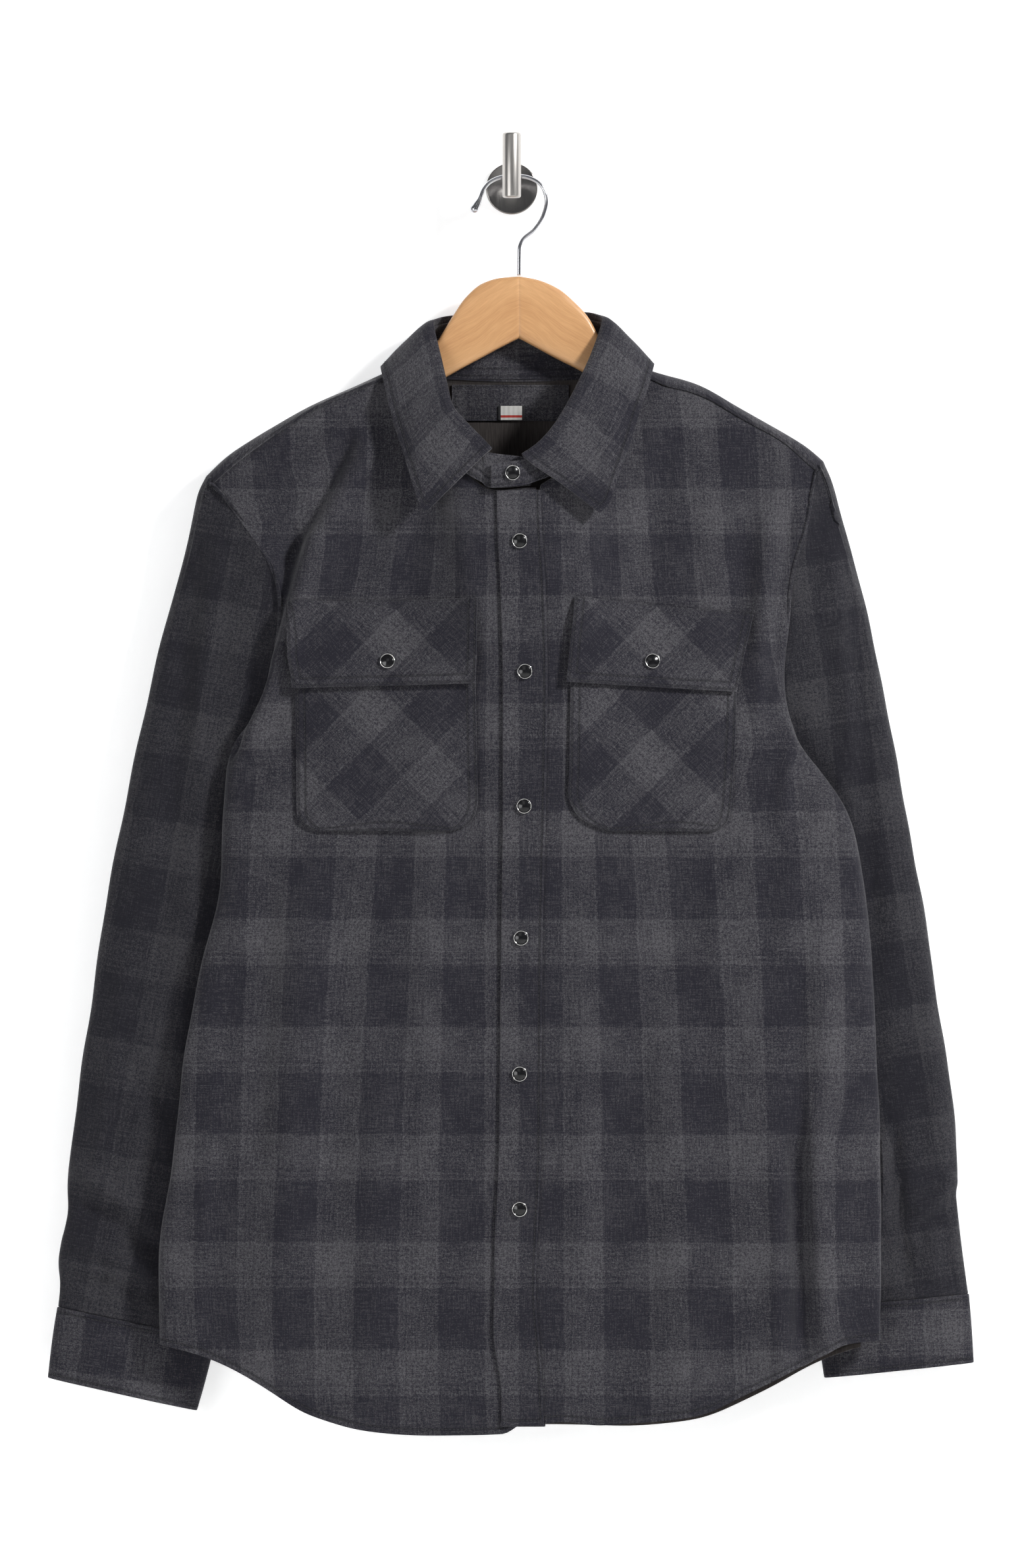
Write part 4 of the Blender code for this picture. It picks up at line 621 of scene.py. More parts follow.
def depth_at(grid, x, z, fallback=PANEL_FALLBACK):
    """Depth y of a panel seen from the front, at all points x, z.

    The depth is the mean of a triangle's corners, weighted by a, b and c with a + b + c = 1, and the
    nearest triangle to the viewer counts.
    """
    low, right = grid[:-1, :-1], grid[:-1, 1:]
    up, far = grid[1:, :-1], grid[1:, 1:]
    corner_a = np.concatenate([low.reshape(-1, 3), low.reshape(-1, 3)])
    corner_b = np.concatenate([right.reshape(-1, 3), far.reshape(-1, 3)])
    corner_c = np.concatenate([far.reshape(-1, 3), up.reshape(-1, 3)])
    at_x, at_z = np.ravel(x)[:, None], np.ravel(z)[:, None]
    (ax, ay, az), (bx, by, bz), (cx, cy, cz) = corner_a.T, corner_b.T, corner_c.T
    area = (bz - cz) * (ax - cx) + (cx - bx) * (az - cz)
    area = np.where(np.abs(area) < 1e-9, np.inf, area)
    a = ((bz - cz) * (at_x - cx) + (cx - bx) * (at_z - cz)) / area
    b = ((cz - az) * (at_x - cx) + (ax - cx) * (at_z - cz)) / area
    c = 1 - a - b
    covers = (np.minimum(np.minimum(a, b), c) >= -1e-7) & np.isfinite(area)
    depth = np.where(covers, a * ay + b * by + c * cy, np.inf).min(axis=1)
    return np.where(np.isfinite(depth), depth, fallback).reshape(np.shape(x))


def laid_on(panel, flat, lift):
    """Puts a flat grid of x, z points on a panel: each point lies on its outer face, moved out by lift."""
    deep = depth_at(panel, flat[..., 0], flat[..., 1]) - lift
    return np.stack([flat[..., 0], deep, flat[..., 1]], axis=2)


def corners_grid(top_left, top_right, low_left, low_right, rows, columns):
    """Flat grid between four corners, each given as x, z."""
    u = np.linspace(0, 1, columns)[None, :, None]
    v = np.linspace(0, 1, rows)[:, None, None]
    top = np.array(top_left) * (1 - u) + np.array(top_right) * u
    low = np.array(low_left) * (1 - u) + np.array(low_right) * u
    return top * (1 - v) + low * v

# %% Work out all control grids
under_edge = np.full(2, UNDERLAP_X)
left_front = front_grid(LEFT_SIDE, LEFT_TOP, LEFT_HEM, LEFT_FOLDS, under_edge, UNDERLAP_DROP)
placket_z = np.linspace(PLACKET["z"][0], PLACKET["z"][-1], FRONT_ROWS)
placket_seam = smooth(placket_z, PLACKET["z"], PLACKET["seam"])
placket_edge = smooth(placket_z, PLACKET["z"], PLACKET["edge"])
right_front = front_grid(RIGHT_SIDE, RIGHT_TOP, RIGHT_HEM, RIGHT_FOLDS, placket_seam + SEAM_GAP, 0.0)
share = np.linspace(0, 1, PLACKET_COLUMNS)
placket_x = placket_edge[:, None] + share * (placket_seam - SEAM_GAP - placket_edge)[:, None]
end_z = np.linspace(PLACKET_LOW_Z, PLACKET_HIGH_Z, FRONT_ROWS)
placket_y = smooth(placket_z, PLACKET["z"], PLACKET["depth"])[:, None] + np.zeros(PLACKET_COLUMNS)
placket = np.stack([placket_x, placket_y, end_z[:, None] + np.zeros(PLACKET_COLUMNS)], axis=2)
back = back_grid()
yoke = yoke_grid()
left_armhole = armhole_ring(left_front, back, yoke, -1.0)
right_armhole = armhole_ring(right_front, back, yoke, 1.0)
left_sleeve = sleeve_grid(LEFT_SLEEVE, left_armhole, LEFT_SIDE, LEFT_BACK_ARMHOLE)
right_sleeve = sleeve_grid(RIGHT_SLEEVE, right_armhole, RIGHT_SIDE, RIGHT_BACK_ARMHOLE)
around = np.linspace(0, 2 * math.pi, len(left_armhole), endpoint=False)
left_cuff = tube_rings(LEFT_CUFF, around, SLEEVE_POWER)
right_cuff = tube_rings(RIGHT_CUFF, around, SLEEVE_POWER)
print("Front grid:", left_front.shape, "sleeve grid:", left_sleeve.shape)

# %% [markdown]
# The leaf's free part lies on the fronts, so its points are moved out where a front would poke through.
# The two ends of the stand cross at the throat, one behind the other.

# %% Control grids of the collar leaf and stand
LEAF_CLEAR, OVER_FRONT, OVER_RIDGE = COLLAR_CLOTH + 1.4, -30.0, -26.0
roll, edge, base, fall, out = collar_frames()
inner_side = roll + fall * (COLLAR_ROLL + 1.5) - out * COLLAR_ROLL
outer_side = roll + fall * COLLAR_ROLL + out * COLLAR_ROLL
middle = (outer_side + edge) / 2 + out * 2.0
before_top = roll + fall * COLLAR_CREST - out * COLLAR_ROLL * 0.75
after_top = roll + fall * COLLAR_CREST + out * COLLAR_ROLL * 0.75
leaf_lines = (inner_side, before_top, roll, after_top, outer_side, middle, edge)
leaf_columns = [along([line[k] for line in leaf_lines], LEAF_ROWS, 0.8) for k in range(COLLAR_COLUMNS)]
leaf = np.stack(leaf_columns, axis=1)
free = leaf[6:]
ahead = np.minimum.reduce(
    [depth_at(panel, free[..., 0], free[..., 2], 0.0) for panel in (left_front, right_front, placket)]
)
covered = (ahead < OVER_FRONT) & (free[..., 1] < OVER_RIDGE)
free[..., 1] = np.where(covered, np.minimum(free[..., 1], ahead - LEAF_CLEAR), free[..., 1])
stand_top = inner_side + fall * (SEAM_GAP + 0.1)
stand_top = np.vstack([[STAND_END_LEFT[:3]], stand_top, [STAND_END_RIGHT[:3]]])
stand_low = np.vstack([[STAND_END_LEFT[3:]], base, [STAND_END_RIGHT[3:]]])
steps = np.linspace(0, 1, STAND_ROWS)[:, None, None]
stand = stand_top * (1 - steps) + stand_low * steps

# %% Control grids of the pockets, flaps, strip and label
POCKET_COLUMNS, FLAP_ROWS = 9, 6
pockets, flaps = {}, {}
for side, panel, rows, corners in (
    ("left", left_front, LEFT_POCKET, LEFT_FLAP),
    ("right", right_front, RIGHT_POCKET, RIGHT_FLAP),
):
    u, v = np.linspace(0, 1, POCKET_COLUMNS), np.linspace(0, 1, len(rows["z"]))
    flat_x = rows["left"][:, None] * (1 - u) + rows["right"][:, None] * u
    flat = np.stack([flat_x, rows["z"][:, None] + np.zeros(POCKET_COLUMNS)], axis=2)
    puff = np.sin(math.pi * u)[None, :] * np.clip(np.sin(math.pi * (v * 0.96))[:, None], 0, 1) ** 0.5
    pockets[side] = laid_on(panel, flat, POCKET_LIFT + POCKET_PUFF * puff)
    down = np.linspace(0, 1, FLAP_ROWS)[:, None]
    lift = FLAP_LIFT + (FLAP_STAND_OFF - FLAP_LIFT) * np.clip(down * 3.2, 0, 1) + 0.8 * down
    lift = lift + POCKET_PUFF * 0.75 * np.sin(math.pi * u)[None, :] * down
    flaps[side] = laid_on(panel, corners_grid(*corners, FLAP_ROWS, POCKET_COLUMNS), lift)
x_low, x_high, z_low, z_high = FACING_BOX
strip = corners_grid((x_low, z_high), (x_high, z_high), (x_low, z_low), (x_high, z_low), 3, 9)
strip = np.insert(strip, 1, FACING_Y, axis=2)
x_low, x_high, z_low, z_high = LABEL_BOX
tag = corners_grid((x_low, z_high), (x_high, z_high), (x_low, z_low), (x_high, z_low), 4, 6)
tag = np.insert(tag, 1, LABEL_Y, axis=2)

# %% [markdown]
# ## From control grid to fine cloth
# A natural cubic spline bends like a thin batten pushed through pegs. Its weights depend only on how many
# pegs there are, so they are one matrix along the rows and another along the columns. A subdivision
# modifier would be similar, but it pulls the surface off the seams, and the spline goes through them.

# %% Spline weights
SPLINE_PAD = 6


def spline_weights(count, places):
    """Matrix that carries `count` knot values to `places`, given in knot numbers, by a natural cubic spline.

    Between knots k and k + 1 the value is (1 - t) a + t b - t (1 - t) ((2 - t) p + (1 + t) q) / 6. The bends
    p and q solve p[k-1] + 4 p[k] + p[k+1] = 6 (a[k-1] - 2 a[k] + a[k+1]), and are nothing at both ends.
    """
    identity = np.eye(count)
    system, bend = np.eye(count), np.zeros((count, count))
    inner = np.arange(1, count - 1)
    system[inner, inner] = 4
    system[inner, inner - 1] = system[inner, inner + 1] = 1
    bend[inner] = 6 * (identity[inner - 1] - 2 * identity[inner] + identity[inner + 1])
    bend = np.linalg.solve(system, bend)
    k = np.clip(np.floor(places).astype(int), 0, count - 2)
    t = (places - k)[:, None]
    curve = t * (1 - t) * ((2 - t) * bend[k] + (1 + t) * bend[k + 1]) / 6
    return (1 - t) * identity[k] + t * identity[k + 1] - curve


def finer(grid, rows, columns, closed=False):
    """Control grid as a finer one with that many rows and columns. A closed grid repeats its first column."""
    if closed:
        grid = np.concatenate([grid[:, -SPLINE_PAD:], grid, grid[:, : SPLINE_PAD + 1]], axis=1)
        places = SPLINE_PAD + np.linspace(0, grid.shape[1] - 2 * SPLINE_PAD - 1, columns)
    else:
        places = np.linspace(0, grid.shape[1] - 1, columns)
    across = spline_weights(grid.shape[1], places)
    down = spline_weights(grid.shape[0], np.linspace(0, grid.shape[0] - 1, rows))
    return np.einsum("ri,cj,ijk->rck", down, across, grid)

# %% [markdown]
# Everything sewn depends on the distance to an edge: folds die out there, and stitches run a few
# millimetres from it. We measure those distances along the surface, from each of the four sides.

# %% Distances over a piece and its outward direction
def edge_distances(grid):
    """Distance over the surface to each side of a grid: the running sum of its steps from that side."""
    right = np.linalg.norm(np.diff(grid, axis=1), axis=2)
    run_right = np.pad(np.cumsum(right, axis=1), ((0, 0), (1, 0)))
    up = np.linalg.norm(np.diff(grid, axis=0), axis=2)
    run_up = np.pad(np.cumsum(up, axis=0), ((1, 0), (0, 0)))
    return {
        "left": run_right,
        "right": run_right[:, -1:] - run_right,
        "first": run_up,
        "last": run_up[-1:] - run_up,
    }


def outwards(grid, flip, closed=False):
    """Unit direction off the cloth at each point: the cross product of the steps along and up the grid."""
    if closed:
        wrapped = np.concatenate([grid[:, -2:-1], grid, grid[:, 1:2]], axis=1)
        along_row = (wrapped[:, 2:] - wrapped[:, :-2]) / 2
    else:
        along_row = np.gradient(grid, axis=1)
    normal = unit(np.cross(along_row, np.gradient(grid, axis=0)))
    return -normal if flip else normal


def nearest_edge(grid, sides):
    """Distance to the nearest of the named sides."""
    distances = edge_distances(grid)
    return np.minimum.reduce([distances[side] for side in sides])


def tucked(grid, flip, sides, closed=False, reach=1.6, depth=1.9):
    """Adds a row or column beyond each named side, off the edge and under it, as a seam allowance."""
    for side in sides:
        facing = outwards(grid, flip, closed)
        axis = 0 if side in ("first", "last") else 1
        at, before = (0, 1) if side in ("first", "left") else (-1, -2)
        point, normal = np.take(grid, at, axis), np.take(facing, at, axis)
        off = unit(point - np.take(grid, before, axis))
        added = np.expand_dims(point + off * reach - normal * depth, axis)
        grid = np.concatenate([added, grid] if at == 0 else [grid, added], axis)
    return grid


def seam_points(grid, flip, column, first_row):
    """Dense points of a panel's side from a row up, with the directions out of it and off its edge."""
    point = grid[first_row:, column]
    off = unit(point - grid[first_row:, 1 if column == 0 else -2])
    rows = np.hstack([point, outwards(grid, flip)[first_row:, column], off])
    at = np.linspace(0, len(rows) - 1, 4 * len(rows))
    return np.stack([np.interp(at, np.arange(len(rows)), rows[:, k]) for k in range(9)], axis=1)

# %% [markdown]
# ## Creases and the liveliness of cloth
# What is still missing is what makes cloth look like cloth: creases at the elbows, drag lines from the
# shoulders and a faint unevenness all over. A crease is a soft ridge or trough along a line, as a large
# fold is. The unevenness is a sum of slow sine waves, whose lengths and directions come from a seeded
# random generator, so it is the same on every run.

# %% Tables of the creases
BODY_CREASES = table(FOLD, """
    -116 -180 -161 -270 6 -6, -155 -250 -184 -356 6 -7.5, -178 -338 -209 -414 6 -6.5,
    -202 -396 -226 -456 6 -4.5, -103 -188 -148 -270 9 5, -143 -250 -170 -356 9 6,
    -165 -338 -194 -412 9 4.2, 194 -470 200 -850 34 6, -178 -500 -186 -720 11 -2.7,
    -120 -500 -132 -760 12 -2, -62 -520 -66 -800 14 1.9, -215 -640 -232 -840 8 2.4,
    -40 -230 -26 -330 9 1.7, -70 -200 -92 -296 10 1.7, 60 -215 52 -330 9 1.5,
    110 -190 100 -300 12 -1.7, 206 -230 194 -350 5.5 -2.7, 188 -235 178 -400 6 2,
    214 -330 196 -470 6 2.2, 190 -470 186 -640 10 -2, 150 -500 156 -700 12 1.7,
    205 -690 212 -862 6 -5.8, 221 -660 230 -860 6 4.4, 192 -700 196 -880 7 2.7,
    96 -620 98 -860 11 -2, 52 -560 50 -800 11 1.7
""")
BACK_CREASES = table(FOLD, """
    -150 -250 -182 -430 9 2.8, -182 -300 -196 -520 8 -2.2, 150 -250 190 -430 9 2.8,
    196 -300 214 -540 8 -2.2, -40 -420 -52 -860 14 -2.2, 52 -460 66 -870 14 -2.2,
    -140 -560 -160 -860 12 2.2, 160 -540 186 -850 12 2.2
""")
LEFT_SLEEVE_CREASES = table(FOLD, """
    -214 -250 -232 -420 8 2.9, -236 -300 -258 -560 9 -2.6, -222 -420 -250 -700 8 2.4,
    -282 -560 -306 -740 7 1.9, -322 -716 -276 -748 6 3.5, -320 -744 -252 -778 6.5 -4.2,
    -328 -770 -262 -792 5.5 3.2, -326 -800 -240 -812 6 -2.9, -282 -640 -240 -690 8 -2.2,
    -270 -776 -262 -832 5 2.6, -300 -782 -302 -832 5 -2.2
""")
RIGHT_SLEEVE_CREASES = table(FOLD, """
    232 -250 250 -420 8 2.6, 250 -320 268 -560 9 -2.4, 246 -440 268 -700 8 1.9,
    300 -560 316 -720 7 1.6, 272 -690 268 -806 5 5.1, 280 -690 289 -806 4.5 -4.8,
    259 -720 252 -806 5 -3.8, 326 -724 296 -752 7 2.9, 328 -744 294 -768 6 -2.9,
    306 -760 310 -808 6 2.2
""")
CUFF_CREASES = table(FOLD, """
    -300 -824 -306 -880 12 1, -258 -836 -262 -890 9 -1, 288 -812 290 -868 10 1.2,
    256 -818 256 -870 8 -0.9
""")
COLLAR_CREASES = table(FOLD, """
    -72 -160 -66 -226 7 1, 74 -160 66 -226 7 1
""")

# %% Functions of the creases and the unevenness
FADE_AT_SEAM = 16.0


def unevenness(x, z, height, seed, lengths=(38.0, 150.0), count=14):
    """Sum of sine waves over x, z, each with its own length, direction and start. Longer ones are higher."""
    draw = np.random.default_rng(seed)
    length = draw.uniform(*lengths, count)
    turn, start = draw.uniform(0, math.pi, count), draw.uniform(0, 2 * math.pi, count)
    phase = x[..., None] * np.cos(turn) + z[..., None] * np.sin(turn)
    weight = length / length.max()
    waves = np.sin(2 * math.pi * phase / length + start) * weight
    return height * waves.sum(axis=-1) / math.sqrt((weight**2).sum() / 2)


def with_creases(grid, flip, creases, sides, seed, height=0.45, closed=False, behind=None):
    """Moves a fine grid outwards by its creases and unevenness, which fade at the named sides."""
    normal = outwards(grid, flip, closed)
    x, z = grid[..., 0], grid[..., 2]
    rise = unevenness(x + 0.7 * grid[..., 1], z, height, seed)
    towards = np.clip(-normal[..., 1] * 1.5, 0, 1)
    rise = rise + towards * fold_height(x, z, creases)
    if behind is not None:
        rise = rise + np.clip(normal[..., 1] * 1.5, 0, 1) * fold_height(x, z, behind)
    if sides:
        fade = np.clip(nearest_edge(grid, sides) / FADE_AT_SEAM, 0, 1)
        rise = rise * (fade * fade * (3 - 2 * fade))
    return grid + normal * rise[..., None]

# %% [markdown]
# A woven check follows the threads, and not the room: it runs with the cloth round the sides and down the
# tilted sleeves. So each piece has a UV map of its place on the flat cloth in metres: U across the warp
# stripes, V down the weft stripes. On a front, U is the distance along the row from its middle edge. On a
# sleeve, V is the distance down its axis and U the distance round it. Pockets and flaps are cut on the
# bias, which turns their map by 45 degrees.

# %% Functions for the places on the flat cloth
def flat_places(grid, anchor_column=0):
    """U and V of a hanging panel: U is the distance along the row from the anchor column, V the height z."""
    run = edge_distances(grid)["left"] * np.sign(grid[0, -1, 0] - grid[0, 0, 0])
    u = run - run[:, anchor_column : anchor_column + 1] + grid[:, anchor_column : anchor_column + 1, 0]
    return np.stack([u, grid[..., 2]], axis=2)


def tube_places(grid, top, low):
    """U and V of a tube: V along the line from top to low, both x, z, and U the way round from that line."""
    axis = np.array(low) - np.array(top)
    axis = axis / np.linalg.norm(axis)
    square = np.array([-axis[1], axis[0]])
    flat = grid[..., [0, 2]]
    off = (flat - np.array(top)) @ square
    step = np.hypot(np.diff(off, axis=1), np.diff(grid[..., 1], axis=1))
    run = np.pad(np.cumsum(step, axis=1), ((0, 0), (1, 0)))
    half = grid.shape[1] // 2
    crossing = np.argmin(np.abs(off[:, :half]), axis=1)
    rows = np.arange(len(grid))
    turn = np.sign(off[:, half] - off[:, 0])[:, None]
    u = turn * (run - run[rows, crossing][:, None]) + off[rows, crossing][:, None]
    return np.stack([u, -(flat @ axis)], axis=2)


def on_bias(places, centre):
    """Turns flat places by 45 degrees about a centre, which becomes the place 0, 0."""
    off = places - np.array(centre)
    turned = np.stack([off[..., 0] - off[..., 1], off[..., 0] + off[..., 1]], axis=2)
    return turned * math.sqrt(0.5)

# %% [markdown]
# ## Finishes
# Each finish is a material with its own node tree. The helpers below let a node's output be added and
# multiplied like a number, so that a tree reads as a formula. Effects that several finishes share are
# node groups: a box of nodes with named inputs and outputs, built once.

# %% Helpers for node trees
class Value:
    """What a node's output gives. It adds, subtracts, multiplies and divides like a number."""

    def __init__(self, socket):
        self.socket, self.tree = socket, socket.id_data

    def maths(self, operation, *others, clamp=False):
        """One step of arithmetic with other values or numbers."""
        return node(self.tree, "Math", dict(enumerate([self, *others])), operation=operation, use_clamp=clamp)

    def __add__(self, other):
        return self.maths("ADD", other)

    def __sub__(self, other):
        return self.maths("SUBTRACT", other)

    def __mul__(self, other):
        return self.maths("MULTIPLY", other)

    def __truediv__(self, other):
        return self.maths("DIVIDE", other)

    def clamped(self):
        """The value kept from 0 to 1."""
        return self.maths("ADD", 0.0, clamp=True)


def put(socket, value):
    """Wires a value to an input, or sets the input to a plain number or colour."""
    if isinstance(value, Value):
        value.tree.links.new(value.socket, socket)
    else:
        socket.default_value = value


def node(tree, kind, inputs=None, output=0, **settings):
    """Adds a shader node with its settings and inputs, and gives one of its outputs."""
    made = tree.nodes.new("ShaderNode" + kind)
    for name, value in settings.items():
        setattr(made, name, value)
    for name, value in (inputs or {}).items():
        put(made.inputs[name], value)
    return Value(made.outputs[output])


def outputs(value):
    """All outputs of the node that a value comes from, by name."""
    return {socket.name: Value(socket) for socket in value.socket.node.outputs}


def parts(vector):
    """The three parts of a vector."""
    return list(outputs(node(vector.tree, "SeparateXYZ", {0: vector})).values())


def own_place(tree):
    """Place in the object's own coordinates, in metres."""
    return node(tree, "TexCoord", output="Object")


def noise(vector, scale, detail=2.0, rough=0.5):
    """Noise centred on nought: about -0.5 to 0.5."""
    inputs = {"Vector": vector, "Scale": scale, "Detail": detail, "Roughness": rough}
    return node(vector.tree, "TexNoise", inputs) - 0.5


def streaks(values, scales, detail=2.0, rough=0.5):
    """Noise of two or three values, each with its own scale: long where the scale is small."""
    scaled = dict(enumerate(value * scale for value, scale in zip(values, scales)))
    return noise(node(values[0].tree, "CombineXYZ", scaled), 1.0, detail, rough)


def stripes(value, period, stops):
    """Repeats a brightness profile along a value. Each stop is a share of the period and a brightness."""
    ramp = node(value.tree, "ValToRGB", {"Fac": (value / period).maths("FRACT")})
    bar = ramp.socket.node.color_ramp.elements
    bar[0].position, bar[1].position = stops[0][0], stops[-1][0]
    for place, _ in stops[1:-1]:
        bar.new(place)
    for stop, (place, bright) in zip(sorted(bar, key=lambda one: one.position), stops):
        stop.color = (bright, bright, bright, 1.0)
    return ramp


def blend(factor, first, second):
    """Mixes two colours by a factor. A plain colour is its red, green and blue."""
    first, second = (colour if isinstance(colour, Value) else (*colour, 1.0) for colour in (first, second))
    return node(factor.tree, "Mix", {0: factor, 6: first, 7: second}, 2, data_type="RGBA")


def new_group(name, inputs, results):
    """Empty node group with named sockets: its tree, its inputs' values and its results' sockets."""
    tree = bpy.data.node_groups.new(name, "ShaderNodeTree")
    for way, sockets in (("INPUT", inputs), ("OUTPUT", results)):
        for label, kind in sockets.items():
            tree.interface.new_socket(label, in_out=way, socket_type="NodeSocket" + kind)
    entry, leave = tree.nodes.new("NodeGroupInput"), tree.nodes.new("NodeGroupOutput")
    return tree, {label: Value(entry.outputs[label]) for label in inputs}, leave.inputs


def new_material(name, **shader_values):
    """Material with a Principled shader, whose plain values are set on its own sockets."""
    made = bpy.data.materials.new(name)
    made.use_nodes = True
    shader = made.node_tree.nodes["Principled BSDF"].inputs
    for socket, value in shader_values.items():
        shader[socket.replace("_", " ")].default_value = value
    return made, made.node_tree, shader


def speckled(shader, scale, first, second, detail=2.0):
    """Base colour that wavers between two colours over the object."""
    tree = shader["Base Color"].id_data
    put(shader["Base Color"], blend(noise(own_place(tree), scale, detail) + 0.5, first, second))


def bumped(shader, height):
    """Feeds a height in millimetres to the shader's normal."""
    made = node(height.tree, "Bump", {"Height": height, "Strength": 1.0, "Distance": MM})
    put(shader["Normal"], made)

# %% [markdown]
# One stripe profile serves the warp, along U, and one the weft, along V. At each spot of a few tenths of
# a millimetre either the warp or the weft thread lies on top, which a fine noise decides. Where two light
# stripes cross all threads are light, where only one is light the spots mix to a middle grey, and the
# rest is dark. The light yarn has flecks along its own direction.

# %% Node group: the woven check
WARP_PERIOD, WEFT_PERIOD = 0.0635, 0.0785
WARP_STOPS = (
    (0.0, 0.0), (0.012, 0.75), (0.028, 0.9), (0.045, 0.62), (0.08, 0.7), (0.086, 0.3), (0.098, 0.3),
    (0.105, 0.72), (0.148, 0.72), (0.154, 0.32), (0.166, 0.32), (0.173, 0.75), (0.198, 0.75), (0.204, 0.36),
    (0.216, 0.36), (0.224, 0.8), (0.4, 0.76), (0.43, 0.66), (0.448, 0.95), (0.462, 0.85), (0.476, 0.06),
    (0.5, 0.0), (1.0, 0.0),
)
WEFT_STOPS = (
    (0.0, 0.0), (0.012, 0.7), (0.03, 0.85), (0.06, 0.62), (0.12, 0.7), (0.2, 0.8), (0.29, 0.74), (0.325, 0.6),
    (0.332, 0.3), (0.345, 0.3), (0.352, 0.8), (0.372, 0.85), (0.38, 0.3), (0.392, 0.3), (0.4, 0.75),
    (0.425, 0.7), (0.436, 0.05), (0.46, 0.0), (1.0, 0.0),
)

DARK_YARN, LIGHT_YARN = (0.0195, 0.0188, 0.0262), (0.104, 0.101, 0.1085)
YARN_ALONG, YARN_ACROSS = 60.0, 1300.0

check, given, result = new_group("woven_check", {"Places": "Vector"}, {"Color": "Color", "Height": "Float"})
uv = given["Places"]
u, v, _ = parts(uv)
wander = noise(uv, 30.0) * 0.003 + noise(uv, 700.0, 1.0) * 0.0042
yarn_warp = streaks((u, v), (YARN_ACROSS, YARN_ALONG), 2.0, 0.65)
yarn_weft = streaks((u, v), (YARN_ALONG, YARN_ACROSS), 2.0, 0.65)
warp = yarn_warp * 1.9 + stripes(u + wander, WARP_PERIOD, WARP_STOPS) * 0.6
weft = yarn_weft * 1.9 + stripes(wander - v, WEFT_PERIOD, WEFT_STOPS) * 0.6
on_top = (noise(uv, 1150.0, 1.0) * 2.0 + 0.5).clamped()
mixed = warp + (weft - warp) * on_top
fibres = noise(uv, 520.0, 3.0, 0.8) + noise(uv, 1300.0, 2.0, 0.8)
fleck = fibres * (mixed * 3.6 + 1.3)
cloud = noise(uv, 26.0, 3.0)
woven = (mixed + fleck + cloud * 0.7 + 0.08).clamped()
put(result["Color"], blend(woven, DARK_YARN, LIGHT_YARN))
put(result["Height"], yarn_warp + yarn_weft + fibres)
print("Group woven_check has", len(check.nodes), "nodes")

# %% [markdown]
# Topstitching pulls the cloth into a narrow groove, the turned edge beside it is twice as thick, and
# between the grooves the cloth puckers. One group makes all three from the distance to the edge, which
# each piece carries as an attribute named rim. The attributes row_a and row_b say how far in the rows of
# stitches run.

# %% Node group: stitched edges
GROOVE_HALF = 0.0009
PUCKER_REACH = 0.006
DOUBLE_FADE = 0.0016

stitched, given, result = new_group(
    "stitched_edge",
    {"Rim": "Float", "First": "Float", "Second": "Float", "Places": "Vector"},
    {"Groove": "Float", "Height": "Float"},
)


def hump(distance, half):
    """Bell curve of a distance: exp(-(distance / half) squared)."""
    share_of = distance / half
    return (share_of * share_of * -1.0).maths("EXPONENT")


off_a, off_b = given["Rim"] - given["First"], given["Rim"] - given["Second"]
groove, near = (hump(off_a, half).maths("MAXIMUM", hump(off_b, half)) for half in (GROOVE_HALF, PUCKER_REACH))
pucker = noise(given["Places"], 120.0, 1.0) * near
double = (off_a / -DOUBLE_FADE + 0.5).clamped()
# The groove mask also drives the flannel's painted shade in its stitched grooves.
put(result["Groove"], groove)
put(result["Height"], groove * -0.42 + double * 0.28 + pucker * 1.1)

# %% [markdown]
# Flannel is brushed until its fibres stand up, so it has no gloss, and light catches the fibres at a
# grazing angle, which the shader's sheen imitates. Weave and nap are bump, being far finer than any mesh.
# The inside of the back is a plain, browner cloth.

# %% Flannel and inside cloth
def cloth_start(tree):
    """The piece's own map and the effects of its stitched edge, which all cloth finishes start from."""
    places = node(tree, "UVMap", uv_map="cloth")
    inputs = {"Places": places}
    for socket, label in (("Rim", "rim"), ("First", "row_a"), ("Second", "row_b")):
        inputs[socket] = node(tree, "Attribute", output="Fac", attribute_name=label)
    return places, outputs(node(tree, "Group", inputs, node_tree=stitched))


def flannel_of(name, groove_painted_shade, **shader_values):
    """Cloth with the woven check, with painted shade that darkens its stitched grooves."""
    made, tree, shader = new_material(name, Roughness=0.95, **shader_values)
    places, edge = cloth_start(tree)
    weave = outputs(node(tree, "Group", {"Places": places}, node_tree=check))
    # Painted shade: the base colour goes towards near black in the stitched grooves.
    put(shader["Base Color"], blend(edge["Groove"] * groove_painted_shade, weave["Color"], (0.012, 0.012, 0.015)))
    bumped(shader, weave["Height"] * 0.16 + edge["Height"])
    return made


flannel = flannel_of("flannel_finish", 0.45, Specular_IOR_Level=0.12, Sheen_Weight=0.22, Sheen_Roughness=0.45)
dull = {"Specular_IOR_Level": 0.1, "Sheen_Roughness": 0.5}
strip_cloth = flannel_of("neck_strip_finish", 0.0, Sheen_Weight=0.2, **dull)
inside_cloth, tree, shader = new_material("inside_finish", Roughness=0.95, Sheen_Weight=0.15, **dull)
places, edge_effect = cloth_start(tree)
streak = streaks(parts(places)[:2], (900.0, YARN_ALONG), 3.0, 0.6)
put(shader["Base Color"], blend((streak * 1.6 + 0.45).clamped(), (0.026, 0.022, 0.022), (0.075, 0.066, 0.062)))
bumped(shader, streak * 0.2 + edge_effect["Height"])

# %% [markdown]
# The label is a plain woven tape with dark turned ends and one red line along its foot. Satin threads run
# along it, which gives it more gloss than the flannel.

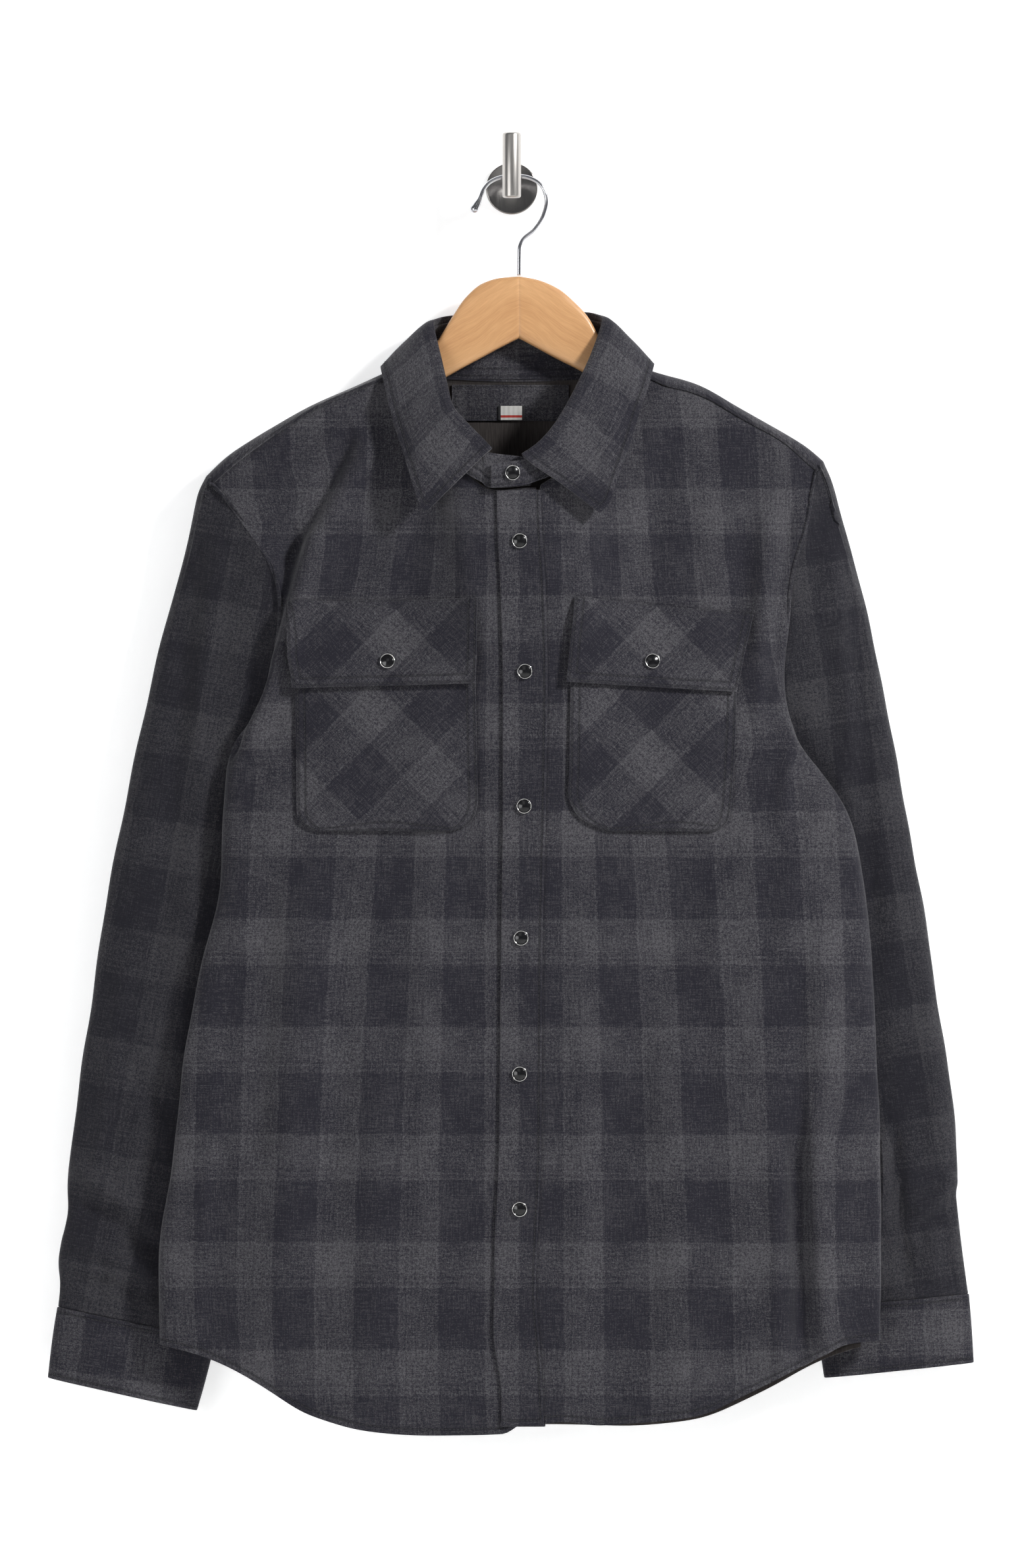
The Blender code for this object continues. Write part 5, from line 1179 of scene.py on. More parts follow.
# %% Label and sewing thread
LABEL_LENGTH, LABEL_PLAIN_HALF = 0.0196, 0.0078
RED_LOW, RED_HIGH, RIB = 0.0018, 0.0036, 0.0005
label_cloth, tree, shader = new_material(
    "label_finish", Roughness=0.6, Specular_IOR_Level=0.35, Sheen_Weight=0.2
)
u, v, _ = parts(node(tree, "UVMap", uv_map="cloth"))
ends = (u - LABEL_LENGTH / 2).maths("ABSOLUTE").maths("GREATER_THAN", LABEL_PLAIN_HALF)
foot = v.maths("GREATER_THAN", RED_LOW) * v.maths("LESS_THAN", RED_HIGH)
ground = blend(foot, (0.62, 0.61, 0.58), (0.42, 0.03, 0.02))
put(shader["Base Color"], blend(ends, ground, (0.02, 0.02, 0.022)))
bumped(shader, (v * (2 * math.pi / RIB)).maths("SINE") * 0.05)

thread, tree, shader = new_material("thread_finish", Roughness=0.7, Specular_IOR_Level=0.3)
speckled(shader, 2400.0, (0.02, 0.02, 0.024), (0.075, 0.075, 0.08), 1.0)

# %% [markdown]
# The hanger is beech, so its grain shows as long nested lines that follow each arm. Distances from the
# mitre are taken without their sign, which makes the grain of the two arms a mirror image. The metals
# differ mostly in roughness: plated wire mirrors the room, while brushed nickel has fine scratches that
# spread the light. The wall hook's plate and peg are one nickel, but the plate gets a darker copy as
# painted shade and the peg a lighter copy as painted highlight.

# %% Beech and metals
ARM_SLOPE = math.radians(33.0)
MITRE_X = 0.0053
RING_WIDTH = 0.0062


def wood_grain(tree):
    """Grain brightness of an arm: noise that is long along the arm and short across it, with bent rings."""
    x, depth, z = parts(own_place(tree))
    from_mitre = (x - MITRE_X).maths("ABSOLUTE")
    run = from_mitre * math.cos(ARM_SLOPE) - z * math.sin(ARM_SLOPE)
    rise = from_mitre * math.sin(ARM_SLOPE) + z * math.cos(ARM_SLOPE)
    bent = rise + streaks((run, rise, depth), (14.0, 26.0, 26.0)) * 0.02
    rings = (bent * (2 * math.pi / RING_WIDTH)).maths("SINE")
    pores = streaks((run, bent, depth), (90.0, 1300.0, 1300.0))
    broad = streaks((run, rise, depth), (9.0, 40.0, 40.0))
    return (rings * 0.045 + pores * 0.75 + broad + 0.55).clamped()


beech, tree, shader = new_material("beech_finish", Roughness=0.38, Coat_Weight=0.25, Coat_Roughness=0.25)
grain = wood_grain(tree)
put(shader["Base Color"], blend(grain, (0.53, 0.255, 0.1), (0.79, 0.455, 0.215)))
bumped(shader, grain * 0.05)


def brushed(name, colour, rough, spread, scale):
    """Metal with fine scratches along the scale's smallest direction, in roughness and bump."""
    made, tree, shader = new_material(name, Metallic=1.0)
    scratch = streaks(parts(own_place(tree)), scale, 3.0, 0.6)
    darker = tuple(part * 0.82 for part in colour)
    put(shader["Base Color"], blend((scratch + 0.5).clamped(), darker, colour))
    put(shader["Roughness"], scratch * spread + rough)
    bumped(shader, scratch * 0.02)
    return made


UPRIGHT = (1800.0, 1800.0, 60.0)
chrome = brushed("chrome_finish", (0.74, 0.74, 0.77), 0.16, 0.05, (300.0, 300.0, 300.0))
# One nickel in two copies: darker on the plate as painted shade, lighter on the peg as painted highlight.
nickel = brushed("nickel_plate_painted_shade_finish", (0.34, 0.325, 0.31), 0.2, 0.14, UPRIGHT)
peg_painted_highlight_nickel = brushed("peg_painted_highlight_finish", (0.58, 0.555, 0.525), 0.34, 0.14, UPRIGHT)
snap_ring = brushed("snap_ring_finish", (0.88, 0.87, 0.85), 0.14, 0.1, (900.0, 900.0, 900.0))
snap_cap, tree, shader = new_material("snap_cap_finish", Roughness=0.16, Coat_Weight=0.1, Coat_Roughness=0.05)
speckled(shader, 1500.0, (0.004, 0.004, 0.005), (0.009, 0.009, 0.01))

# %% [markdown]
# ## From fine grid to a sewn piece
# A grid becomes a mesh whose faces join neighbouring points, with its map and its stitch attributes.
# Solidify gives it the cloth's thickness, always inwards, so that its outer face stays where the tables
# put it. A small bevel rounds the cut rims.

# %% Function: a piece of cloth
FAR = 1.0
RIM_SHARE = 0.3


def grid_faces(rows, columns, flip):
    """Corner numbers of all faces of a grid, row by row."""
    corner = (np.arange(rows - 1)[:, None] * columns + np.arange(columns - 1)).ravel()
    quads = np.stack([corner, corner + 1, corner + columns + 1, corner + columns], axis=1)
    return quads[:, ::-1] if flip else quads


def new_mesh(name, points, faces, materials, smooth_faces=True):
    """Object at the origin from points in metres and an array or list of faces."""
    mesh = bpy.data.meshes.new(name)
    mesh.from_pydata(np.asarray(points).tolist(), [], [list(face) for face in faces])
    for finish in materials:
        mesh.materials.append(finish)
    mesh.polygons.foreach_set("use_smooth", np.full(len(mesh.polygons), smooth_faces))
    piece = bpy.data.objects.new(name, mesh)
    bpy.context.scene.collection.objects.link(piece)
    return piece


def round_edges(piece, width, degrees):
    """Two-step bevel, in metres, on all edges sharper than an angle."""
    bevel = piece.modifiers.new("Round edges", "BEVEL")
    bevel.width, bevel.segments = width, 2
    bevel.limit_method, bevel.angle_limit = "ANGLE", math.radians(degrees)


def grid_area(grid):
    """Area of a grid: half the cross product of the two diagonals of every face, added up."""
    first, second = grid[1:, 1:] - grid[:-1, :-1], grid[1:, :-1] - grid[:-1, 1:]
    return 0.5 * np.linalg.norm(np.cross(first, second), axis=2).sum()


def cloth(name, grid, places, thick, flip=False, rows=(), row_sides="", finishes=(), closed=False):
    """Sewn piece from a fine grid in millimetres.

    places gives U and V in millimetres, rows how far its one or two rows of stitches are in from the
    named sides, in metres. A closed grid's first and last column are the same points, which are merged.
    """
    rows, finishes = [*rows, FAR, FAR], finishes or [flannel]
    count_rows, columns = grid.shape[:2]
    faces = grid_faces(count_rows, columns, flip)
    points = grid.reshape(-1, 3) * MM
    loops = places.reshape(-1, 2)[faces.ravel()] * MM
    rim = (nearest_edge(grid, row_sides.split()) * MM if row_sides else np.full(grid.shape[:2], FAR)).ravel()
    if closed:
        number = np.arange(count_rows * columns).reshape(count_rows, columns)
        number[:, -1] = number[:, 0]
        number = number - number // columns
        faces = number.ravel()[faces]
        points = points.reshape(count_rows, columns, 3)[:, :-1].reshape(-1, 3)
        rim = rim.reshape(count_rows, columns)[:, :-1].ravel()
    piece = new_mesh(name, points, faces, finishes)
    layer = piece.data.uv_layers.new(name="cloth")
    layer.data.foreach_set("uv", loops.ravel())
    for label, values in (("rim", rim), ("row_a", rows[0]), ("row_b", rows[1])):
        values = np.broadcast_to(values, rim.shape).copy()
        piece.data.attributes.new(label, "FLOAT", "POINT").data.foreach_set("value", values)
    wall = piece.modifiers.new("Cloth thickness", "SOLIDIFY")
    wall.thickness, wall.offset, wall.use_quality_normals = thick * MM, -1.0, True
    wall.material_offset = len(finishes) - 1
    round_edges(piece, thick * MM * RIM_SHARE, 55.0)
    wide = np.linalg.norm(np.diff(grid, axis=1), axis=2).sum(axis=1).max() * MM
    tall = np.linalg.norm(np.diff(grid, axis=0), axis=2).sum(axis=0).max() * MM
    print(f"{name}: {wide:.3f} x {tall:.3f} m, {grid_area(grid) * MM * MM:.4f} square metres")
    return piece

# %% [markdown]
# ## The two fronts and the placket
# The front seen on the left goes under the placket, which is sewn to the other front. All three get the
# same creases, because they hang together. The check starts where the photograph shows it on each front.

# %% Fronts and placket
FRONT_FINE, PLACKET_FINE = (199, 97), (200, 18)
WEFT_START = -456.3
LEFT_WARP_START, RIGHT_WARP_START, PLACKET_WARP_START = -83.7, 38.9, -24.6
HEM = {"rows": [0.0045], "row_sides": "first"}
CORNER_X, CORNER_LIFT, CORNER_REACH = (-7.0, 12.0), 8.0, 60.0
front_sides = ("right", "last")


def shifted(places, warp_start, weft_start=WEFT_START):
    """Moves a map so that its light stripes start at warp_start and weft_start."""
    return places - np.array([warp_start, weft_start])


fine_left = with_creases(finer(left_front, *FRONT_FINE), True, BODY_CREASES, front_sides, 3)
# The underlap's lower corner is drawn up behind the placket, by a smooth step in x that fades with z.
across = np.clip((fine_left[..., 0] - CORNER_X[0]) / (CORNER_X[1] - CORNER_X[0]), 0.0, 1.0)
above = np.clip(1.0 - (fine_left[..., 2] - fine_left[:1, :, 2]) / CORNER_REACH, 0.0, 1.0)
fine_left[..., 2] += CORNER_LIFT * across * across * (3.0 - 2.0 * across) * above
fine_right = with_creases(finer(right_front, *FRONT_FINE), False, BODY_CREASES, front_sides, 3)
fine_placket = with_creases(finer(placket, *PLACKET_FINE), False, BODY_CREASES, None, 3)
sewn_left = tucked(fine_left, True, front_sides)
sewn_right = tucked(fine_right, False, ("right", "last", "left"))
sewn_placket = tucked(fine_placket, False, ("right",))
left_places = shifted(flat_places(sewn_left), LEFT_WARP_START)
front_under = cloth("front_under_cloth", sewn_left, left_places, CLOTH, True, **HEM)
right_places = shifted(flat_places(sewn_right), RIGHT_WARP_START)
front_over = cloth("front_over_cloth", sewn_right, right_places, CLOTH, **HEM)
placket_places = shifted(flat_places(sewn_placket), PLACKET_WARP_START)
placket_cloth = cloth("placket_cloth", sewn_placket, placket_places, CLOTH, False, [0.0047], "right first")

# %% [markdown]
# ## Back and yoke
# The back's inside shows in the neck and under the hem, so it gets the plainer inside finish as its
# second material, which Solidify puts on the inner wall.

# %% Back and yoke
BACK_FINE, BACK_MIDDLE, BACK_WARP_START = (161, 111), 55, -15.0
fine_back = finer(back, *BACK_FINE)
x, z = fine_back[..., 0], fine_back[..., 2]
rise = unevenness(x, z, 0.6, 11) + fold_height(x, z, BACK_CREASES)
rise *= np.clip(nearest_edge(fine_back, ("left", "right", "last")) / FADE_AT_SEAM, 0, 1)
fine_back = fine_back + outwards(fine_back, True) * rise[..., None]
sewn_back = tucked(fine_back, True, ("last",))
back_places = shifted(flat_places(sewn_back, BACK_MIDDLE), BACK_WARP_START)
two_sided = [flannel, inside_cloth]
back_cloth = cloth("back_cloth", sewn_back, back_places, CLOTH, True, finishes=two_sided, **HEM)
fine_yoke = finer(yoke, 37, 151)
sewn_yoke = tucked(fine_yoke, False, ("first", "last", "left", "right"))
yoke_places = np.stack([sewn_yoke[..., 0], YOKE_SEAM_Z + edge_distances(sewn_yoke)["last"]], axis=2)
yoke_places = shifted(yoke_places, BACK_WARP_START)
yoke_cloth = cloth("yoke_cloth", sewn_yoke, yoke_places, CLOTH, False, [0.0045], "first last", two_sided)

# %% [markdown]
# ## Sleeves and cuffs
# Each sleeve hangs at its own tilt, so the line that its warp stripes follow is given for each one. The
# elbows and the fullness above the cuffs carry the deepest creases, at the back as well, which no
# photograph shows.

# %% Sleeves and cuffs
SLEEVE_FINE, CUFF_FINE = (170, 97), (30, 97)
LEFT_STRIPE = ((-204.8, -335.0), (-296.6, -805.0))
RIGHT_STRIPE = ((321.2, -686.2), (334.0, -766.7))
HALF_STRIPE = 15.0
SLEEVE_WEFT_SCALE = 0.954
SEAM_BLEND_ROWS, SEAM_OFF, TURN_IN, TURN_UNDER = 9, 0.3, 1.4, 2.0
UNDERARM_FRONT_ROW, UNDERARM_BACK_ROW = 116, 103


def sleeve_cloth(side, control, seam, stripe, weft_start, creases, flip, seed):
    """One sleeve, with creases on both sides and its map along its own tilted stripe.

    Its first row goes to the nearest points of the armhole's seam, and a row before it turns in.
    """
    grid = finer(control, *SLEEVE_FINE, closed=True)
    grid = with_creases(grid, flip, creases, ("first", "last"), seed, 0.5, closed=True, behind=creases)
    nearest = seam[np.linalg.norm(grid[0][:, None] - seam[None, :, :3], axis=2).argmin(axis=1)]
    fade = np.clip(1 - np.arange(len(grid)) / SEAM_BLEND_ROWS, 0, 1)[:, None, None] ** 2
    grid = grid + fade * (nearest[:, :3] + nearest[:, 6:] * SEAM_OFF - grid[0])
    turned_in = nearest[:, :3] - nearest[:, 6:] * TURN_IN - nearest[:, 3:6] * TURN_UNDER
    grid = tucked(np.concatenate([turned_in[None], grid]), flip, ("last",), closed=True)
    places = tube_places(grid, *stripe) + np.array([HALF_STRIPE, -weft_start])
    places[..., 1] *= SLEEVE_WEFT_SCALE
    return cloth(f"sleeve_{side}_cloth", grid, places, CLOTH, flip, closed=True)


left_seam, right_seam = (
    np.vstack([
        seam_points(front, flip, -1, UNDERARM_FRONT_ROW), seam_points(fine_yoke, False, column, 0),
        seam_points(fine_back, True, column, UNDERARM_BACK_ROW),
    ])
    for front, flip, column in ((fine_left, True, 0), (fine_right, False, -1))
)
sleeve_left, sleeve_right = (sleeve_cloth(*what) for what in (
    ("left", left_sleeve, left_seam, LEFT_STRIPE, -503.1, LEFT_SLEEVE_CREASES, True, 21),
    ("right", right_sleeve, right_seam, RIGHT_STRIPE, -637.0, RIGHT_SLEEVE_CREASES, False, 23),
))
cuffs = {}
for side, control, stripe, weft_start, flip in (
    ("left", left_cuff, ((-260.0, -806.0), (-270.0, -876.0)), -746.0, True),
    ("right", right_cuff, ((252.0, -806.0), (254.0, -866.0)), -752.0, False),
):
    grid = finer(control, *CUFF_FINE, closed=True)
    grid = with_creases(grid, flip, CUFF_CREASES, ("first",), 31, 0.3, closed=True, behind=CUFF_CREASES)
    places = tube_places(grid, *stripe) + np.array([HALF_STRIPE, -weft_start])
    piece = cloth(f"cuff_{side}_cloth", grid, places, CUFF_CLOTH, flip, [0.0035], "first last", closed=True)
    cuffs[side] = (piece, grid)

# %% [markdown]
# ## Collar
# The leaf's check runs round the neck with the cloth, so U is the distance along the leaf and V the
# distance down from its inner seam. Its free edge has one row of stitches 5 mm in.

# %% Collar leaf and stand
LEAF_FINE, STAND_FINE = (64, 220), (14, 220)
LEAF_WARP_START, STAND_WARP_START = 12.0, 20.0
fine_leaf = finer(leaf, *LEAF_FINE)
x, z, facing = fine_leaf[..., 0], fine_leaf[..., 2], outwards(fine_leaf, False)
rise = unevenness(x, z, 0.22, 41) + np.clip(-facing[..., 1] * 1.5, 0, 1) * fold_height(x, z, COLLAR_CREASES)
rise *= np.clip(nearest_edge(fine_leaf, ("left", "right", "first")) / 20.0, 0, 1)
fine_leaf = fine_leaf + facing * rise[..., None]


def strip_places(grid):
    """U and V of a strip: the distance along its middle row, and the distance across it from its first row."""
    distances = edge_distances(grid)
    middle = distances["left"][len(grid) // 2]
    return np.stack([np.broadcast_to(middle, grid.shape[:2]), -distances["first"]], axis=2)


leaf_places = shifted(strip_places(fine_leaf), LEAF_WARP_START, -14.0)
leaf_cloth = cloth("collar_leaf_cloth", fine_leaf, leaf_places, COLLAR_CLOTH, False,
                   [0.0048], "last left right")
fine_stand = finer(stand, *STAND_FINE)
stand_places = shifted(strip_places(fine_stand), STAND_WARP_START, 8.0)
stand_cloth = cloth("collar_stand_cloth", fine_stand, stand_places, COLLAR_CLOTH, False,
                    [0.002, 0.0075], "last")

# %% [markdown]
# ## Pockets and flaps
# Both are cut on the bias, so the check stands on its points. Each flap covers its pocket's top and
# hangs a few millimetres off it.

# %% Pockets and flaps
BIAS_CENTRES = {
    "pocket_left": (-101.9, -384.6), "flap_left": (-85.1, -332.2),
    "pocket_right": (101.0, -419.7), "flap_right": (105.0, -330.0),
}
SIDE_SHIFT = np.array([HALF_STRIPE, -16.5])
pieces_on_bias = {}
for side in ("left", "right"):
    for kind, control, size in (("pocket", pockets[side], (64, 56)), ("flap", flaps[side], (36, 60))):
        name = f"{kind}_{side}"
        grid = with_creases(finer(control, *size), True, BODY_CREASES, None, 3)
        places = on_bias(grid[..., [0, 2]], BIAS_CENTRES[name]) + SIDE_SHIFT
        piece = cloth(f"{name}_cloth", grid, places, CLOTH, True, [0.0016, 0.0066], "left right last")
        pieces_on_bias[name] = (piece, grid)

# %% [markdown]
# ## Inside the neck
# A strip of cloth covers the seam inside the back of the neck, and the label is sewn on it.

# %% Strip and label
fine_strip = finer(strip, 26, 80)
strip_places_flat = fine_strip[..., [0, 2]] - np.array([0.0, 21.0])
strip_piece = cloth("neck_strip_cloth", fine_strip, strip_places_flat, FACING_CLOTH, True, [0.0018],
                    "left right first last", [strip_cloth])
fine_tag = finer(tag, 14, 24)
fine_tag[..., 1] -= 0.25 * np.sin((fine_tag[..., 0] - fine_tag[0, 0, 0]) * 0.9) ** 2
tag_places = fine_tag[..., [0, 2]] - np.array([LABEL_BOX[0], LABEL_BOX[2]])
tag_piece = cloth("neck_label_cloth", fine_tag, tag_places, LABEL_CLOTH, True, finishes=[label_cloth])

# %% [markdown]
# ## Sewing
# Each stitch is a short bead of thread that rises out of the cloth and dives back in. All the beads of a
# seam are one mesh, whose points come from the two ends of every stitch and the outward direction there.

# %% Functions for rows of stitches
STITCH, STITCH_GAP, THREAD_RADIUS = 2.3, 0.6, 0.24
STATIONS, SIDES = np.array([0.0, 0.18, 0.5, 0.82, 1.0]), 5


def row_line(grid, side, distance, flip):
    """Points and outward directions at a distance in from one side."""
    turned = grid if side in ("left", "right") else grid.transpose(1, 0, 2)
    facing = outwards(grid, flip)
    facing = facing if side in ("left", "right") else facing.transpose(1, 0, 2)
    if side in ("right", "last"):
        turned, facing = turned[:, ::-1], facing[:, ::-1]
    run = np.pad(np.cumsum(np.linalg.norm(np.diff(turned, axis=1), axis=2), axis=1), ((0, 0), (1, 0)))
    k = np.clip((run < distance).sum(axis=1) - 1, 0, turned.shape[1] - 2)
    rows = np.arange(len(turned))
    t = ((distance - run[rows, k]) / np.maximum(run[rows, k + 1] - run[rows, k], 1e-9))[:, None]
    point = turned[rows, k] * (1 - t) + turned[rows, k + 1] * t
    return np.concatenate([point, facing[rows, k]], axis=1)


def framed_line(grid, distance, flip):
    """Line round a pocket or flap: down the left side, along the last row, up the right side."""
    low = edge_distances(grid)["last"]
    left, right = row_line(grid, "left", distance, flip), row_line(grid, "right", distance, flip)
    bottom = row_line(grid, "last", distance, flip)
    inset = np.clip(np.searchsorted(np.linspace(0, np.ptp(bottom[:, 0]), len(bottom)), distance), 1, None)
    keep = low[:, 0] >= distance
    return np.concatenate([left[keep], bottom[inset:-inset], right[keep][::-1]])


def stitches(name, lines):
    """Joined beads of thread along lines. Each line has points and outward directions, in millimetres.

    A bead's middle runs from one end of its stitch to the other and is lifted by a half sine. Round it go
    five points, whose radius shrinks at both ends.
    """
    starts, ends, facings = [], [], []
    for line in lines:
        run = run_along(line[:, :3])
        first = np.arange(0.5, run[-1] - STITCH, STITCH + STITCH_GAP)
        here, there = (np.stack([np.interp(at, run, line[:, k]) for k in range(6)], axis=1)
                       for at in (first, first + STITCH))
        starts.append(here[:, :3])
        ends.append(there[:, :3])
        facings.append(here[:, 3:])
    start, end, facing = (np.concatenate(part) for part in (starts, ends, facings))
    heading = unit(end - start)
    across = unit(np.cross(heading, facing))
    up = np.cross(across, heading)
    middle = start[:, None] * (1 - STATIONS[:, None]) + end[:, None] * STATIONS[:, None]
    middle = middle + facing[:, None] * (np.sin(math.pi * STATIONS) * 0.3 - 0.08)[:, None]
    turn = np.linspace(0, 2 * math.pi, SIDES, endpoint=False)
    round_way = across[:, None, None] * np.cos(turn)[:, None] + up[:, None, None] * np.sin(turn)[:, None]
    radius = THREAD_RADIUS * (0.35 + 0.65 * np.sin(math.pi * STATIONS))[None, :, None, None]
    points = (middle[:, :, None] + round_way * radius).reshape(-1, 3) * MM
    ring = np.arange(SIDES)
    here = np.arange(len(STATIONS) - 1)[:, None] * SIDES
    after = (ring + 1) % SIDES
    quads = [here + ring, here + SIDES + ring, here + SIDES + after, here + after]
    quads = np.stack(quads, axis=2).reshape(-1, 4)
    step = np.arange(len(start))[:, None, None] * len(STATIONS) * SIDES
    sides = (quads + step).reshape(-1, 4).tolist()
    caps = np.concatenate([ring[None], ring[::-1][None] + (len(STATIONS) - 1) * SIDES])
    caps = (caps + step).reshape(-1, SIDES).tolist()
    piece = new_mesh(name, points, sides + caps, [thread])
    print(f"{name}: {len(start)} stitches")
    return piece

# %% Rows of stitches on the garment
def rows_on(grid, flip, *rows):
    """Lines of stitches. Each row is a side and a distance, with the points to keep if not all are."""
    return [row_line(grid, side, distance, flip)[slice(*keep or (None,))] for side, distance, *keep in rows]


SEWN = {
    "front_under": (fine_left, True, ("first", 4.5)),
    "front_over": (fine_right, False, ("first", 4.5)),
    "back": (fine_back, True, ("first", 4.5)),
    "placket": (fine_placket, False, ("right", 2.2), ("first", 4.5)),
    "yoke": (fine_yoke, False, ("last", 2.0)),
    "collar_leaf": (fine_leaf, False, ("last", 4.8), ("left", 4.8, 30, -3), ("right", 4.8, 30, -3)),
    "collar_stand": (fine_stand, False, ("last", 2.0), ("last", 7.5, 40, -40)),
    "cuff_left": (cuffs["left"][1], True, ("first", 3.5), ("last", 3.5)),
    "cuff_right": (cuffs["right"][1], False, ("first", 3.5), ("last", 3.5)),
}
sewing = {name: stitches(f"sewing_{name}", rows_on(*what)) for name, what in SEWN.items()}
for name, (piece, grid) in pieces_on_bias.items():
    lines = [framed_line(grid, 1.6, True), framed_line(grid, 6.6, True)]
    if name.startswith("flap"):
        lines += rows_on(grid, True, ("first", 1.2), ("first", 5.0))
    sewing[name] = stitches(f"sewing_{name}", lines)
round_strip = [(side, 1.8) for side in ("first", "last", "left", "right")]
sewing["neck_facing"] = stitches("sewing_neck_strip", rows_on(fine_strip, True, *round_strip))

# %% [markdown]
# ## Snaps
# A snap is a domed black cap sunk in a bright ring. Such a turned shape is a profile of radius and height
# carried once round. It lies on the cloth and tips with it, so we measure the cloth's slope there.

# %% Turned shapes and the snap caps
SNAP_RADIUS, SNAP_RISE, SNAP_LIFT = 5.5, 2.4, 0.35
SNAP_ROUND = 40
CAP_START = 11


def turned(profile, count):
    """Points of a profile of radius and height carried once round: (r cos t, r sin t, h)."""
    turn = np.linspace(0, 2 * math.pi, count, endpoint=False)
    radius, height = np.asarray(profile, dtype=float).T
    across = radius[:, None] * np.cos(turn)
    return np.stack([across, radius[:, None] * np.sin(turn), height[:, None] + np.zeros(count)], axis=2)


def turned_faces(rings, count):
    """Faces between neighbouring rings, and a many-sided face on the first and last ring."""
    ring, lower = np.arange(count), np.arange(rings - 1)[:, None] * count
    after = (ring + 1) % count
    quads = np.stack([lower + ring, lower + after, lower + count + after, lower + count + ring], axis=2)
    first, last = ring[::-1].tolist(), (ring + (rings - 1) * count).tolist()
    return quads.reshape(-1, 4).tolist() + [first, last]


def basis(outwards_direction):
    """Three directions square to each other, the last one given."""
    third = unit(outwards_direction)
    first = unit(np.cross(np.array([0.0, 0.0, 1.0]), third))
    return np.stack([first, np.cross(third, first), third])


def snap_profile():
    """Foot, ring with a rounded rim, groove, and the dome as an arc of a circle."""
    bend = np.linspace(0, math.pi, 8)
    rim = np.stack([SNAP_RADIUS - 0.36 + 0.36 * np.cos(bend), SNAP_RISE - 0.6 + 0.36 * np.sin(bend)], axis=1)
    groove = np.array([(SNAP_RADIUS - 0.86, SNAP_RISE - 0.95)])
    share = np.linspace(0, 1, 9)
    dome_height = SNAP_RISE - 0.85 + np.sin(share * math.pi / 2)
    dome = np.stack([(SNAP_RADIUS - 0.92) * (1 - share) + 0.02, dome_height], axis=1)
    foot = np.array([(SNAP_RADIUS - 0.4, 0.0), (SNAP_RADIUS, 0.3)])
    return np.vstack([foot, rim, groove, dome])


def snap(name, panel, x, z):
    """Snap cap on a panel: the panel's depth is read at x, z and a little to each side for its slope."""
    reach = SNAP_RADIUS * 0.8
    places = np.array([[x, z], [x + reach, z], [x - reach, z], [x, z + reach], [x, z - reach]])
    deep = depth_at(panel, places[:, 0], places[:, 1])
    facing = np.array([(deep[1] - deep[2]) / (2 * reach), -1.0, (deep[3] - deep[4]) / (2 * reach)])
    axes = basis(facing)
    grid = turned(snap_profile(), SNAP_ROUND) @ axes + np.array([x, deep[0], z]) + axes[2] * SNAP_LIFT
    rings = len(grid)
    piece = new_mesh(name, grid.reshape(-1, 3) * MM, turned_faces(rings, SNAP_ROUND), [snap_ring, snap_cap])
    ring_of_face = np.append(np.repeat(np.arange(rings - 1), SNAP_ROUND), [0, rings])
    piece.data.polygons.foreach_set("material_index", (ring_of_face >= CAP_START - 2).astype(np.int32))
    return piece


snaps = {
    f"snap_front_{k + 1}": snap(f"snap_front_{k + 1}_cap", fine_placket, SNAPS["x"][k], SNAPS["z"][k])
    for k in range(len(SNAPS["x"]))
}
snaps["snap_stand"] = snap("snap_stand_cap", fine_stand[:, -42:], *STAND_SNAP)
snaps["snap_flap_left"] = snap("snap_flap_left_cap", pieces_on_bias["flap_left"][1], *LEFT_FLAP_SNAP)
snaps["snap_flap_right"] = snap("snap_flap_right_cap", pieces_on_bias["flap_right"][1], *RIGHT_FLAP_SNAP)
print("Snaps:", sorted(snaps))

# %% [markdown]
# ## The hanger
# Each arm is a board with soft corners: a superellipse carried along the arm between the curves of its
# top and its underside.

# %% Hanger arms
WOOD_Y, WOOD_THICK, WOOD_POWER = -26.0, 13.0, 5.0
MITRE_CLOSE = 0.3
LEFT_ARM = table("x top low", """
    5.15 -65.4 -111, -9.6 -66.8 -118.5, -21.6 -70.7 -125, -33.7 -80.8 -131.5, -43.3 -94.7 -136.8,
    -54.3 -112.5 -143, -72 -130.5 -152.5, -94 -142.1 -164, -114 -149.6 -173.5, -145 -163.1 -187,
    -176 -180.6 -201, -196 -193.6 -209.5, -204 -200.6 -211
""")
RIGHT_ARM = table("x top low", """
    5.45 -65.4 -111, 18.3 -67.8 -118, 34.1 -74.5 -126.5, 46.2 -84.6 -132.5, 56.3 -95.7 -138,
    64 -109.5 -141.5, 80 -129.5 -150, 105 -142.6 -161, 136.5 -149.6 -176, 168 -167.1 -190.5,
    196 -183.1 -202, 208 -191.1 -204
""")


def arm(name, rows, stations=90, count=32):
    """Board: at each station a superellipse between the underside and the top."""
    order = np.argsort(rows["x"])
    share = np.linspace(0, 1, stations)
    x = rows["x"][order][0] - MITRE_CLOSE + share * (np.ptp(rows["x"]) + 2 * MITRE_CLOSE)
    top, low = (smooth(x, rows["x"], rows[name_of]) for name_of in ("top", "low"))
    turn = np.linspace(0, 2 * math.pi, count, endpoint=False)
    across, up = flattened(turn, WOOD_POWER)
    y = WOOD_Y + across * WOOD_THICK / 2 + np.zeros((stations, 1))
    z = (top + low)[:, None] / 2 + up * ((top - low)[:, None] / 2)
    grid = np.stack([x[:, None] + np.zeros(count), y, z], axis=2)
    piece = new_mesh(name, grid.reshape(-1, 3) * MM, turned_faces(stations, count), [beech])
    round_edges(piece, 0.0003, 60.0)
    return piece


